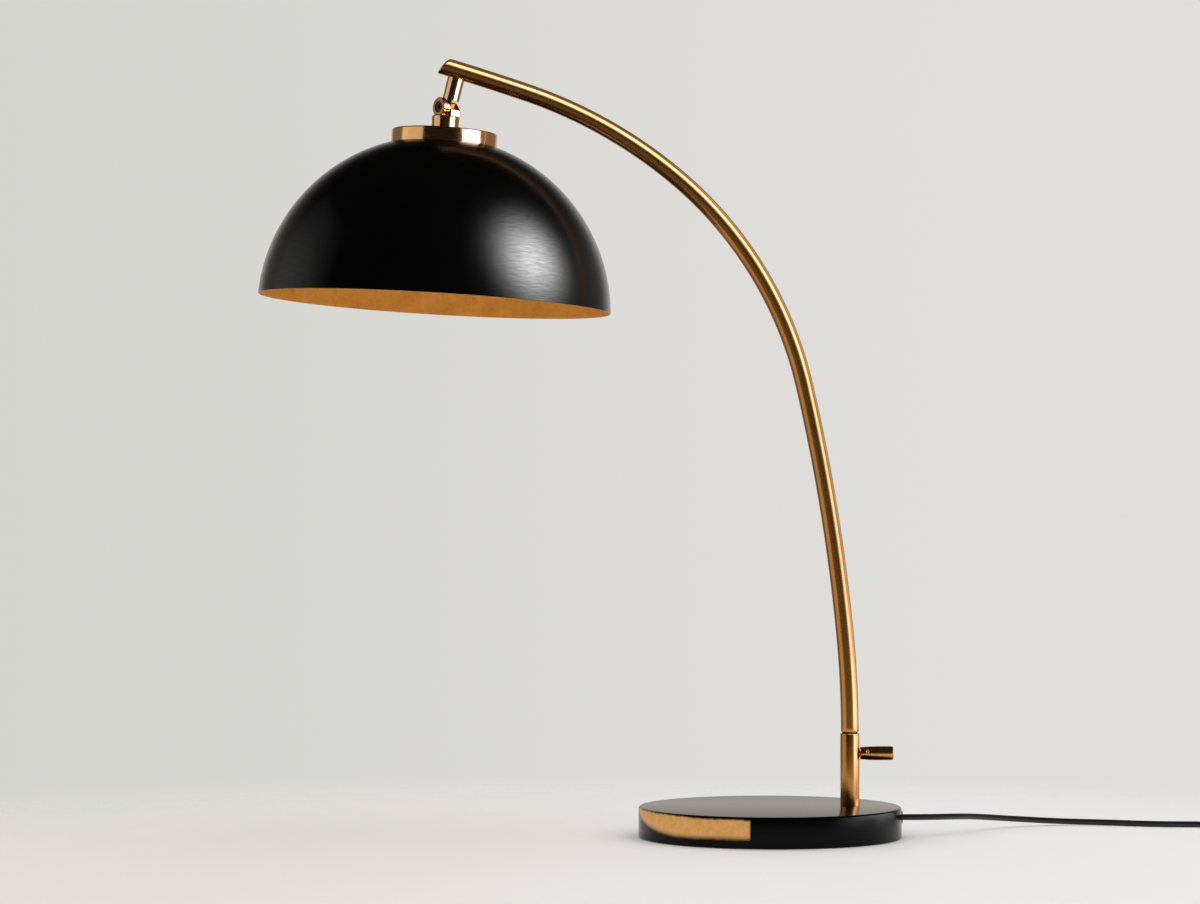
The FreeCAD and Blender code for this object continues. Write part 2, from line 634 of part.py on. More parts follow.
BULB_TIP = INSULATOR_FOOT - 2.0
BULB_NECK = -80.0
GLASS = 0.8


def bulb_contact():
    outline = [(0, BULB_TIP), (4.0, BULB_TIP), (4.0, BULB_TIP - 1.0), (0, BULB_TIP - 1.0)]
    return in_head(turned(outline))


def bulb_insulator():
    outline = [(0, BULB_TIP - 1.0), (4.6, BULB_TIP - 1.0), (8.5, BULB_TIP - 3.6), (0, BULB_TIP - 3.6)]
    return in_head(turned(outline))


def bulb_cap():
    """Threaded metal cap of the bulb."""
    top = BULB_TIP - 3.6
    outline = [(0, top), (9.0, top), (SCREW_R - 0.4, top - 3), (SCREW_R, BULB_NECK), (SCREW_R - 0.6, BULB_NECK),
               (SCREW_R - 1.0, top - 3), (8.6, top - 0.8), (0, top - 0.8)]
    return in_head(turned(outline))


def bulb_glass():
    """Thin-walled ball with a short neck that sits in the cap."""
    neck_r = SCREW_R - 0.6

    def body(radius, neck):
        join = BULB_CENTRE + math.sqrt(radius ** 2 - neck ** 2)
        ball = Part.makeSphere(radius, Vector(0, 0, BULB_CENTRE))
        return fused(ball, upright(neck, join - 2, BULB_NECK + 6))

    return in_head(body(BULB_R, neck_r - 0.6).cut(body(BULB_R - GLASS, neck_r - 0.6 - GLASS)))


# ---------------------------------------------------------------- cord, switch, coil and plug
def cord_free():
    return cord_tube(CORD_ROUTE, "cord_free")


def cord_link():
    return cord_tube(LINK_ROUTE, "cord_link")


SWITCH_BODY = (3.0, -51.0)      # along Y, between the two tapered ends
SWITCH_HALF = 14.0
SWITCH_BOTTOM = 0.2
SWITCH_TOP = 14.8
SWITCH_SPLIT = 6.7
ROCKER_Y = -24.0
ROCKER_HALF = (5.0, 9.0)        # across and along
ROCKER_AXIS_Z = 12.4
ROCKER_PIN_R = 1.2


def switch_housing():
    """Whole outside of the switch: a box with round corners and a tapered end each way."""
    body = block(SWITCH_X - SWITCH_HALF, SWITCH_X + SWITCH_HALF, SWITCH_BODY[1], SWITCH_BODY[0],
                 SWITCH_BOTTOM, SWITCH_TOP)
    body = body.makeFillet(5.0, [e for e in body.Edges if abs(e.tangentAt(0).z) > 0.9])
    body = body.makeFillet(2.0, [e for e in body.Edges if e.BoundBox.ZMin > SWITCH_TOP - 0.1])
    at = Vector(SWITCH_X, 0, SWITCH_Z)
    near = Part.makeCone(6.6, 3.6, SWITCH_Y[0] - SWITCH_BODY[0] + 2, at + Y_AXIS * (SWITCH_BODY[0] - 2), Y_AXIS)
    far = Part.makeCone(6.6, 3.6, SWITCH_BODY[1] - SWITCH_Y[1] + 2, at + Y_AXIS * (SWITCH_BODY[1] + 2), -Y_AXIS)
    shell = fused(body, near, far)
    inside = block(SWITCH_X - 12, SWITCH_X + 12, SWITCH_BODY[1] + 2, SWITCH_BODY[0] - 2, 2.0, SWITCH_TOP - 1.8)
    window = block(SWITCH_X - ROCKER_HALF[0] - 0.4, SWITCH_X + ROCKER_HALF[0] + 0.4,
                   ROCKER_Y - ROCKER_HALF[1] - 0.4, ROCKER_Y + ROCKER_HALF[1] + 0.4, 6, SWITCH_TOP + 1)
    return shell.cut(inside).cut(window)


def switch_lower():
    return switch_housing().common(block(SWITCH_X - 20, SWITCH_X + 20, -70, 20, 0, SWITCH_SPLIT))


def switch_upper():
    upper = switch_housing().common(block(SWITCH_X - 20, SWITCH_X + 20, -70, 20, SWITCH_SPLIT, 20))
    posts = []
    for side in (-1, 1):
        inner = SWITCH_X + side * (ROCKER_HALF[0] + 0.4)
        outer = SWITCH_X + side * 12.0
        posts.append(block(min(inner, outer), max(inner, outer), ROCKER_Y - 3, ROCKER_Y + 3, 9.0, SWITCH_TOP - 1.0))
    upper = fused(upper, *posts)
    return upper.cut(rod(ROCKER_PIN_R, Vector(SWITCH_X - 9, ROCKER_Y, ROCKER_AXIS_Z), X_AXIS, 18))


def rocker_pin():
    return rod(ROCKER_PIN_R, Vector(SWITCH_X - 9, ROCKER_Y, ROCKER_AXIS_Z), X_AXIS, 18)


def switch_rocker():
    """Rocker key: two shallow slopes that meet over the pin."""
    half_x, half_y = ROCKER_HALF
    crown = 3.1
    outline = [(-half_y, -2.0), (half_y, -2.0), (half_y, 1.6), (0.6 * half_y, crown), (0, crown - 0.7),
               (-0.6 * half_y, crown), (-half_y, 1.6)]
    points = [Vector(SWITCH_X - half_x, ROCKER_Y + y, ROCKER_AXIS_Z + z) for y, z in outline]
    key = Part.Face(Part.makePolygon(points + points[:1])).extrude(Vector(2 * half_x, 0, 0))
    return key.cut(rod(ROCKER_PIN_R + RUNNING_GAP, Vector(SWITCH_X - 9, ROCKER_Y, ROCKER_AXIS_Z), X_AXIS, 18))


def coil_points():
    """Places and headings at each quarter turn: a layer spiralling in, a climb, a layer spiralling out."""
    lower = COIL_RADII[:-1]
    climb = len(lower)
    x, y, z = COIL_START
    quarters = []
    for index, radius in enumerate(lower + COIL_RADII[-1:] + lower[::-1]):
        side = 1 if index % 2 == 0 else -1
        centre = x + side * radius
        climbing = index == climb
        for quarter in (0, 1):
            turn = math.pi * (1 + index + quarter / 2)
            rise = COIL_PITCH / 2 if climbing and quarter else 0.0
            slope = CLIMB_STEEPNESS * COIL_PITCH / radius if climbing and quarter else 0.0
            place = Vector(centre + radius * math.cos(turn), y + radius * math.sin(turn), z + rise)
            quarters.append((place, Vector(-math.sin(turn), math.cos(turn), slope).normalize()))
        if climbing:
            z += COIL_PITCH
        x = centre + side * radius
    quarters.append((Vector(x, y, z), Y_AXIS))
    return quarters


def biarc(start, start_heading, end, end_heading):
    """Two arcs that join smoothly between two places with given headings."""
    chord = end - start
    spread = start_heading + end_heading
    a = 2 * (1 - start_heading.dot(end_heading))
    b = 2 * chord.dot(spread)
    c = -chord.dot(chord)
    reach = -c / b if a < 1e-9 else (-b + math.sqrt(b * b - 4 * a * c)) / (2 * a)
    first = start + start_heading * reach
    last = end - end_heading * reach
    joint = (first + last) * 0.5
    return arc_from(start, first, joint) + arc_from(joint, last, end)


def arc_from(start, corner, end):
    """The arc that touches both lines through a corner at equal distances from it."""
    back = (start - corner).normalize()
    ahead = (end - corner).normalize()
    half_turn = (math.pi - back.getAngle(ahead)) / 2
    if half_turn < 1e-6:
        return [Part.LineSegment(start, end).toShape()]
    radius = (start - corner).Length / math.tan(half_turn)
    middle = corner + (back + ahead).normalize() * radius * (1 / math.cos(half_turn) - 1)
    return [Part.Arc(start, middle, end).toShape()]


COIL_END = coil_points()[-1][0] + Y_AXIS * (LINK_ROUTE[-1].y - COIL_START.y)


def coil_wire():
    quarters = coil_points()
    last = quarters[-1][0]
    edges = [Part.LineSegment(LINK_ROUTE[-1], COIL_START).toShape()]
    for (start, heading), (end, end_heading) in zip(quarters, quarters[1:]):
        edges += biarc(start, heading, end, end_heading)
    edges.append(Part.LineSegment(last, COIL_END).toShape())
    return Part.Wire(edges)


def least_gap(wire, radius, step=2.0):
    """Least gap between a tube and itself, from points along its centreline."""
    points = wire.discretize(Distance=step)
    skip = int(math.pi * radius * 2 / step) + 2
    gap = min(points[i].distanceToPoint(points[j]) for i in range(len(points)) for j in range(i + skip, len(points)))
    return gap - 2 * radius


def cord_coil():
    wire = coil_wire()
    tube = swept(wire, CORD_R)
    ratio = tube.Volume / (math.pi * CORD_R ** 2 * wire.Length)
    print("cord_coil length, mm:", round(wire.Length, 1), "volume over section times length:", round(ratio, 4))
    print("cord_coil least gap to itself, mm:", round(least_gap(wire, CORD_R), 2))
    return tube


def plug_body():
    """Two-pin plug lying flat: a tapered boot, then a body that widens and narrows to the pins."""
    boot = Part.makeCone(CORD_R + 0.5, 5.6, PLUG_BOOT, COIL_END, Y_AXIS)
    start = COIL_END + Vector(0, PLUG_BOOT - 3, 0)
    outline = [(-5.2, 0), (-12.5, 11), (-17.5, 23), (-17.5, PLUG_BODY), (17.5, PLUG_BODY), (17.5, 23), (12.5, 11),
               (5.2, 0)]
    points = [start + Vector(x, y, -6.8) for x, y in outline]
    body = Part.Face(Part.makePolygon(points + points[:1])).extrude(Vector(0, 0, 13.6))
    front = start.y + PLUG_BODY
    body = body.makeFillet(2.5, [e for e in body.Edges if e.CenterOfMass.y < front - 1])
    plug = fused(body, boot)
    for x in (-PIN_SPACING / 2, PIN_SPACING / 2):
        plug = plug.cut(rod(PIN_R, Vector(COIL_END.x + x, front - 10, COIL_END.z), Y_AXIS, 20))
    return plug


def plug_pins():
    front = COIL_END.y + PLUG_BOOT - 3 + PLUG_BODY
    pins = []
    for x in (-PIN_SPACING / 2, PIN_SPACING / 2):
        pin = rod(PIN_R, Vector(COIL_END.x + x, front - 10, COIL_END.z), Y_AXIS, PIN_LENGTH + 10)
        pins.append(round_edges(pin, 1.2, lambda c: c.y > front + PIN_LENGTH - 0.1))
    return Part.makeCompound(pins)


PIECES = [base_cover, base_weight, base_plate, base_screws, felt_pad, cord_gland, base_lead,
          stem_post, stem_nipple, stem_washer, stem_nut, swivel_washer, clamp_pad, clamp_knob,
          arm_spindle, arm_tube, arm_end_cap, arm_stub, arm_lead, knuckle_tongue,
          knuckle_fork, pivot_screw, pivot_nut, friction_washers,
          shade_dome, shade_cap, cap_spacer, shade_nipple, shade_washer, shade_nut,
          holder_cap, holder_skirt, holder_insulator, holder_screw_shell, holder_contact, holder_lead,
          bulb_contact, bulb_insulator, bulb_cap, bulb_glass,
          cord_free, cord_link, switch_lower, switch_upper, rocker_pin, switch_rocker,
          cord_coil, plug_body, plug_pins]

os.makedirs("parts", exist_ok=True)
for make in PIECES:
    shape = make()
    if not shape.isValid() or not shape.Solids:
        raise ValueError(make.__name__ + " is not a sound solid")
    print(make.__name__, "solids:", len(shape.Solids), "volume, cm3:", round(shape.Volume / 1000, 2))
    shape.exportStep("parts/" + make.__name__ + ".step")
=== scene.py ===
import json
import math

import bmesh
import bpy
from mathutils import Matrix, Vector


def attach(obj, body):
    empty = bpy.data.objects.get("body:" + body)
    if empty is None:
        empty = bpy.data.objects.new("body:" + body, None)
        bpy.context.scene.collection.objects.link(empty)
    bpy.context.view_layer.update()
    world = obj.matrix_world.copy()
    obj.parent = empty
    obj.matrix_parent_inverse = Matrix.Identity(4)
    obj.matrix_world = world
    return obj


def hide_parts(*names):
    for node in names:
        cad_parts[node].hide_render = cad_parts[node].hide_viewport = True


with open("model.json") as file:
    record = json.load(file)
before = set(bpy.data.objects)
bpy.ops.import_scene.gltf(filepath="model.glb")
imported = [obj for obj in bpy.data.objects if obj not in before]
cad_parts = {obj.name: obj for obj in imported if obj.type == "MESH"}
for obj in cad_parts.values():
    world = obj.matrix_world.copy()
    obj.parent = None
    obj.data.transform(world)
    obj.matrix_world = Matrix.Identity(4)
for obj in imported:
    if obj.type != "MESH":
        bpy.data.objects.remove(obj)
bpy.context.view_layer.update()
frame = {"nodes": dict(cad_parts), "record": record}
nodes = frame["nodes"]

# All lengths are in metres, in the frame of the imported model: +Z up, the origin in the middle of the round
# base where it stands, the shade at -X, and the camera looking along +Y.

# ---------------------------------------------------------------- camera
CAMERA_PLACE = (-0.1293, -2.5334, 0.2387)
CAMERA_PITCH = math.radians(1.23)
CAMERA_LENS = 99.6
SENSOR_WIDTH = 36.0

scene = bpy.context.scene
camera_data = bpy.data.cameras.new("camera")
camera_data.lens = CAMERA_LENS
camera_data.sensor_width = SENSOR_WIDTH
camera = bpy.data.objects.new("camera", camera_data)
camera.location = CAMERA_PLACE
camera.rotation_euler = (math.pi / 2 + CAMERA_PITCH, 0, 0)
scene.collection.objects.link(camera)
scene.camera = camera
scene.view_settings.view_transform = "Standard"

# ---------------------------------------------------------------- cord
CORD_RADIUS = 0.0023
CORD_EXIT = (0.1008, 0.0, 0.0150)
CORD_ROUTE = [CORD_EXIT, (0.122, 0.0, 0.0150), (0.143, 0.018, 0.0140), (0.162, 0.047, 0.0114),
              (0.195, 0.081, 0.0066), (0.235, 0.100, 0.0029), (0.272, 0.096, 0.0024), (0.307, 0.081, 0.0024),
              (0.341, 0.080, 0.0024), (0.369, 0.072, 0.0024), (0.387, 0.052, 0.0044), (0.391, 0.030, 0.0075),
              (0.391, 0.012, 0.0075), (0.391, -0.008, 0.0060), (0.391, -0.040, 0.0060),
              (0.391, -0.060, 0.0075), (0.391, -0.073, 0.0075), (0.391, -0.091, 0.0024),
              (0.391, -0.105, 0.0024)]
COIL_START = (0.391, -0.110, 0.0024)
COIL_OUTER_R = 0.0358
COIL_STEP = 0.0026              # each half turn is this much smaller than the one outside it
COIL_RADII = [COIL_OUTER_R - COIL_STEP * half_turn for half_turn in range(8)]
COIL_LAYER = 0.0052             # the second layer lies this much above the first
HALF_TURN_POINTS = 8
COIL_TO_PLUG = 0.005            # straight stretch between the coil and the plug's boot
PLUG_REACH = 0.010              # the cord's end inside the plug's boot


def smooth_step(value):
    value = min(1.0, max(0.0, value))
    return value * value * (3 - 2 * value)


def coil_points():
    """Half turns, all one way round, that spiral in, climb to the next layer and spiral out again."""
    lower = COIL_RADII[:-1]
    climb = len(lower)
    wide = 1 / math.cos(math.pi / HALF_TURN_POINTS / 2)     # the spline runs inside its control points
    x, y, z = COIL_START
    points = []
    for index, radius in enumerate(lower + COIL_RADII[-1:] + lower[::-1]):
        side = 1 if index % 2 == 0 else -1
        centre = x + side * radius
        for step in range(HALF_TURN_POINTS):
            part = (step + 0.5) / HALF_TURN_POINTS
            turn = math.pi * (1 + index + part)
            rise = COIL_LAYER * smooth_step(part) if index == climb else 0.0
            points.append((centre + wide * radius * math.cos(turn),
                           y + wide * radius * math.sin(turn), z + rise))
        if index == climb:
            z += COIL_LAYER
        x = centre + side * radius
    return points + [(x, y, z), (x, y + COIL_TO_PLUG + PLUG_REACH, z)]


def cord_curve(name, points, radius):
    curve = bpy.data.curves.new(name, "CURVE")
    curve.dimensions = "3D"
    spline = curve.splines.new("NURBS")
    spline.points.add(len(points) - 1)
    for point, place in zip(spline.points, points):
        point.co = (*place, 1.0)
        point.radius = radius
    spline.order_u = 3
    spline.use_endpoint_u = True
    spline.resolution_u = 6
    curve.bevel_depth = 1.0
    curve.bevel_resolution = 6
    curve.use_fill_caps = True
    piece = bpy.data.objects.new(name, curve)
    scene.collection.objects.link(piece)
    return piece


cord = cord_curve("mains_cord", CORD_ROUTE + coil_points(), CORD_RADIUS)
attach(cord, "base")
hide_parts("cord_free", "cord_link", "cord_coil")


# ---------------------------------------------------------------- node materials
class Finish:
    """A node material with one principled shader, and short calls that add nodes to it."""

    def __init__(self, name, **sockets):
        self.material = bpy.data.materials.new(name)
        self.material.use_nodes = True
        self.tree = self.material.node_tree
        self.shader = self.tree.nodes["Principled BSDF"]
        self.set(**sockets)

    def set(self, **sockets):
        """Sets or links the shader's sockets; the spaces in their names are written as underscores."""
        for name, value in sockets.items():
            self.put(self.shader, name.replace("_", " "), value)

    def put(self, node, name, value):
        if isinstance(value, bpy.types.NodeSocket):
            self.tree.links.new(value, node.inputs[name])
        else:
            node.inputs[name].default_value = value

    def node(self, kind, inputs=(), **settings):
        node = self.tree.nodes.new("ShaderNode" + kind)
        for name, value in settings.items():
            setattr(node, name, value)
        for name, value in dict(inputs).items():
            self.put(node, name, value)
        return node

    def object_place(self):
        return self.node("TexCoord").outputs["Object"]

    def turned_place(self):
        """The place on a turned or swept piece, in its own axes, kept with its points."""
        return self.node("Attribute", attribute_name="turned").outputs["Vector"]

    def math(self, operation, first, second=0.0):
        return self.node("Math", {0: first, 1: second}, operation=operation).outputs[0]

    def scaled(self, vector, factors):
        return self.node("VectorMath", {0: vector, 1: factors}, operation="MULTIPLY").outputs[0]

    def round_axis(self, vector, around, along):
        """Coordinates for streaks on a turned piece: the direction round its axis, and the height."""
        split = self.node("SeparateXYZ", {0: vector}).outputs
        flat = self.node("CombineXYZ", {"X": split["X"], "Y": split["Y"]}).outputs[0]
        unit = self.node("VectorMath", {0: flat}, operation="NORMALIZE").outputs[0]
        height = self.node("CombineXYZ", {"Z": split["Z"]}).outputs[0]
        first = self.scaled(unit, (around, around, 0))
        second = self.scaled(height, (0, 0, along))
        return self.node("VectorMath", {0: first, 1: second}, operation="ADD").outputs[0]

    def noise(self, vector, scale, detail=3.0, roughness=0.55, distortion=0.0):
        inputs = {"Vector": vector, "Scale": scale, "Detail": detail, "Roughness": roughness,
                  "Distortion": distortion}
        return self.node("TexNoise", inputs).outputs[0]

    def map(self, value, low, high, to_low=0.0, to_high=1.0, smooth=False):
        kind = "SMOOTHSTEP" if smooth else "LINEAR"
        inputs = {"Value": value, "From Min": low, "From Max": high, "To Min": to_low, "To Max": to_high}
        return self.node("MapRange", inputs, interpolation_type=kind).outputs[0]

    def mix(self, factor, first, second):
        return self.node("Mix", {0: factor, 6: first, 7: second}, data_type="RGBA").outputs[2]

    def bump(self, height, distance, strength=1.0):
        inputs = {"Height": height, "Distance": distance, "Strength": strength}
        return self.node("Bump", inputs).outputs[0]


def rgb(red, green, blue):
    return (red, green, blue, 1.0)


def antique_brass(name, turned):
    """Satin brass under clear lacquer, browner in soft clouds. On turned pieces faint brushing runs
    lengthwise."""
    finish = Finish(name, Metallic=1.0, Coat_Weight=0.5, Coat_Roughness=0.12)
    place = finish.turned_place() if turned else finish.object_place()
    brushed = finish.round_axis(place, 2.2, 5.0) if turned else finish.scaled(place, (60, 300, 300))
    streaks = finish.noise(brushed, 1.0, detail=1.0, roughness=0.5)
    clouds = finish.noise(finish.object_place(), 18.0, detail=2.0)
    colour = finish.mix(finish.map(clouds, 0.35, 0.68), rgb(0.68, 0.300, 0.062), rgb(0.60, 0.248, 0.044))
    streak = finish.math("MULTIPLY", finish.map(streaks, 0.40, 0.70), 0.30)
    finish.set(Base_Color=finish.mix(streak, colour, rgb(0.50, 0.190, 0.030)),
               Roughness=finish.map(streaks, 0.3, 0.75, 0.20, 0.26),
               Normal=finish.bump(streaks, 0.00001, 0.3))
    return finish.material


def polished_brass(name):
    """Shinier, pinker brass with faint clouds and hairlines."""
    finish = Finish(name, Metallic=1.0, Coat_Weight=0.2, Coat_Roughness=0.06)
    place = finish.object_place()
    hairlines = finish.noise(finish.scaled(place, (90, 90, 900)), 1.0, detail=3.0)
    clouds = finish.noise(place, 60.0, detail=2.0)
    colour = finish.mix(finish.map(clouds, 0.35, 0.7), rgb(0.82, 0.475, 0.190), rgb(0.74, 0.400, 0.135))
    finish.set(Base_Color=colour, Roughness=finish.map(hairlines, 0.3, 0.7, 0.11, 0.17),
               Normal=finish.bump(hairlines, 0.00001, 0.3))
    return finish.material


def plain_metal(name, colour, shade, roughness, metallic=1.0, grain=420.0, bump=0.00003):
    """Metal with a fine grain in its colour, gloss and surface."""
    finish = Finish(name, Metallic=metallic)
    grains = finish.noise(finish.object_place(), grain, detail=4.0)
    finish.set(Base_Color=finish.mix(finish.map(grains, 0.35, 0.7), colour, shade),
               Roughness=finish.map(grains, 0.3, 0.7, roughness - 0.07, roughness + 0.07),
               Normal=finish.bump(grains, bump, 0.5))
    return finish.material


def moulded(name, colour, shade, roughness, grain=1500.0, bump=0.00003, level=0.5):
    """Plastic, rubber or sheath with a fine moulded grain."""
    finish = Finish(name, Specular_IOR_Level=level)
    grains = finish.noise(finish.object_place(), grain, detail=2.0)
    clouds = finish.noise(finish.object_place(), 70.0, detail=2.0)
    finish.set(Base_Color=finish.mix(finish.map(clouds, 0.3, 0.7), colour, shade),
               Roughness=finish.map(clouds, 0.3, 0.7, roughness - 0.05, roughness + 0.06),
               Normal=finish.bump(grains, bump, 0.6))
    return finish.material


def felt():
    finish = Finish("felt", Roughness=0.95, Specular_IOR_Level=0.2, Sheen_Weight=0.35, Sheen_Roughness=0.5)
    fibres = finish.noise(finish.object_place(), 900.0, detail=6.0, roughness=0.75, distortion=1.2)
    colour = finish.mix(finish.map(fibres, 0.3, 0.75), rgb(0.012, 0.012, 0.012), rgb(0.05, 0.049, 0.047))
    finish.set(Base_Color=colour, Normal=finish.bump(fibres, 0.0004, 0.9))
    return finish.material


def glazed_ceramic():
    finish = Finish("ceramic", Coat_Weight=0.6, Coat_Roughness=0.08)
    specks = finish.noise(finish.object_place(), 700.0, detail=3.0)
    finish.set(Base_Color=finish.mix(finish.map(specks, 0.4, 0.75), rgb(0.83, 0.82, 0.77),
                                     rgb(0.70, 0.68, 0.62)),
               Roughness=finish.map(specks, 0.3, 0.7, 0.22, 0.34))
    return finish.material


def opal_glass():
    """Glass coated white inside: milky, with a clear gloss."""
    finish = Finish("opal_glass", Coat_Weight=0.8, Coat_Roughness=0.03, Subsurface_Weight=0.25,
                    Subsurface_Scale=0.01)
    milk = finish.noise(finish.object_place(), 45.0, detail=2.0)
    finish.set(Base_Color=finish.mix(milk, rgb(0.86, 0.85, 0.81), rgb(0.80, 0.79, 0.75)),
               Roughness=finish.map(milk, 0.3, 0.7, 0.24, 0.32))
    return finish.material


DOME_R = 0.1348
DOME_SHEET = 0.001


def satin_black_grain(finish, place):
    """Fine short streaks that run round the axis of a turned, painted piece."""
    short = finish.noise(finish.round_axis(place, 12.0, 1000.0), 1.0, detail=2.0, roughness=0.55)
    fine = finish.noise(finish.round_axis(place, 22.0, 1500.0), 1.0, detail=1.0, roughness=0.5)
    return finish.math("ADD", finish.math("MULTIPLY", short, 0.65), finish.math("MULTIPLY", fine, 0.35))


def shade_paint(middle):
    """Satin black outside and mottled gold leaf inside, told apart by the distance from the dome's middle."""
    finish = Finish("shade_paint")
    place = finish.turned_place()
    reach = finish.node("VectorMath", {0: place, 1: (0, 0, middle)}, operation="DISTANCE").outputs["Value"]
    outside = finish.map(reach, DOME_R - 0.6 * DOME_SHEET, DOME_R - 0.4 * DOME_SHEET)
    grain = satin_black_grain(finish, place)
    black = finish.mix(finish.map(grain, 0.35, 0.7), rgb(0.0002, 0.0002, 0.0002), rgb(0.0005, 0.0005, 0.0005))
    object_place = finish.object_place()
    patches = finish.noise(object_place, 55.0, detail=5.0, roughness=0.62, distortion=0.6)
    flecks = finish.noise(object_place, 420.0, detail=4.0, roughness=0.6)
    gold = finish.mix(finish.map(patches, 0.32, 0.68), rgb(0.70, 0.310, 0.034), rgb(0.84, 0.410, 0.060))
    gold = finish.mix(finish.map(flecks, 0.50, 0.72, 0.0, 0.45), gold, rgb(0.46, 0.180, 0.016))
    height = finish.mix(outside, finish.math("ADD", finish.math("MULTIPLY", flecks, 0.5), patches), grain)
    black_rough = finish.map(grain, 0.3, 0.72, 0.17, 0.23)
    gold_rough = finish.map(patches, 0.3, 0.7, 0.42, 0.58)
    black_level = finish.map(grain, 0.34, 0.66, 0.40, 0.26)
    rough = finish.node("Mix", {0: outside, 2: gold_rough, 3: black_rough}, data_type="FLOAT").outputs[0]
    level = finish.node("Mix", {0: outside, 2: 0.5, 3: black_level}, data_type="FLOAT").outputs[0]
    finish.set(Base_Color=finish.mix(outside, gold, black), Roughness=rough,
               Metallic=finish.map(outside, 0.0, 1.0, 0.35, 0.0), Specular_IOR_Level=level,
               Normal=finish.bump(height, 0.00008, 0.8))
    return finish.material


BASE_R = 0.100
BASE_TOP = 0.0234
PATCH_ENDS = (-118.0, -11.4)        # degrees round the base from the camera's side, towards -X
PATCH_FOOT = 0.0080                 # height of its lower edge, which bends up towards the left end
PATCH_BEND = (-45.0, -25.0, 0.005)  # from this angle, over this many degrees, up by this much
PATCH_HEAD = (0.0208, 0.000030)     # height of its upper edge at the right end, and rise per degree
PATCH_WAVES = (0.0022, 0.0016)      # slow and fine waver of its edges
PATCH_FADE = (30.0, 24.0)           # degrees: waver and length of the fade at its left end


def base_paint():
    """Satin black, with a worn brass-coloured patch on the side that faces left and front."""
    finish = Finish("base_paint")
    place = finish.turned_place()
    split = finish.node("SeparateXYZ", {0: place}).outputs
    angle = finish.math("ARCTAN2", split["X"], finish.math("MULTIPLY", split["Y"], -1.0))
    angle = finish.math("DEGREES", angle)
    ragged = finish.noise(place, 260.0, detail=4.0, roughness=0.65)
    soft = finish.noise(place, 38.0, detail=3.0, roughness=0.6)
    crisp_end = finish.map(angle, PATCH_ENDS[1] + 0.5, PATCH_ENDS[1] - 0.3)
    far_end = finish.map(finish.math("ADD", angle, finish.math("MULTIPLY", soft, PATCH_FADE[0])),
                         PATCH_ENDS[0], PATCH_ENDS[0] + PATCH_FADE[1], smooth=True)
    wave = finish.math("ADD", finish.math("MULTIPLY", finish.math("SUBTRACT", soft, 0.5), PATCH_WAVES[0]),
                       finish.math("MULTIPLY", finish.math("SUBTRACT", ragged, 0.5), PATCH_WAVES[1]))
    height = finish.math("ADD", split["Z"], wave)
    start, reach, rise = PATCH_BEND
    bend = finish.math("MAXIMUM", finish.math("DIVIDE", finish.math("SUBTRACT", angle, start), reach), 0.0)
    foot = finish.math("ADD", finish.math("MULTIPLY", finish.math("POWER", bend, 2.0), rise), PATCH_FOOT)
    leftwards = finish.math("SUBTRACT", PATCH_ENDS[1], angle)
    head = finish.math("ADD", finish.math("MULTIPLY", leftwards, PATCH_HEAD[1]), PATCH_HEAD[0])
    bottom = finish.map(finish.math("SUBTRACT", height, foot), -0.0026, 0.0024, smooth=True)
    top = finish.map(finish.math("SUBTRACT", height, head), 0.0008, -0.0012, smooth=True)
    patch = finish.math("MULTIPLY", finish.math("MULTIPLY", crisp_end, far_end),
                        finish.math("MULTIPLY", bottom, top))
    flat = finish.node("CombineXYZ", {"X": split["X"], "Y": split["Y"]}).outputs[0]
    radius = finish.node("VectorMath", {0: flat}, operation="LENGTH").outputs["Value"]
    side = finish.map(radius, BASE_R - 0.0014, BASE_R - 0.0006)
    patch = finish.math("MULTIPLY", patch, side)
    grain = finish.noise(place, 1300.0, detail=3.0)
    black = finish.mix(finish.map(grain, 0.35, 0.7), rgb(0.0006, 0.0006, 0.0007), rgb(0.0014, 0.0014, 0.0015))
    gold = finish.mix(finish.map(ragged, 0.35, 0.70), rgb(0.84, 0.440, 0.135), rgb(0.68, 0.330, 0.092))
    black_rough = finish.map(grain, 0.3, 0.7, 0.15, 0.21)
    rough = finish.node("Mix", {0: patch, 2: black_rough, 3: 0.42}, data_type="FLOAT").outputs[0]
    level = finish.node("Mix", {0: patch, 2: 0.10, 3: 0.4}, data_type="FLOAT").outputs[0]
    finish.set(Base_Color=finish.mix(patch, black, gold), Metallic=finish.math("MULTIPLY", patch, 0.30),
               Roughness=rough, Specular_IOR_Level=level, Normal=finish.bump(grain, 0.00002, 0.4))
    return finish.material


# Places of the shade's own axis: the tilt knuckle's pivot and the lean of the axis.
PIVOT = Vector((-0.2469, 0.0, 0.5563))
SHADE_LEAN = math.radians(3.3)
HEAD = Matrix.Translation(PIVOT) @ Matrix.Rotation(SHADE_LEAN, 4, "Y")
DOME_MIDDLE = -0.1574

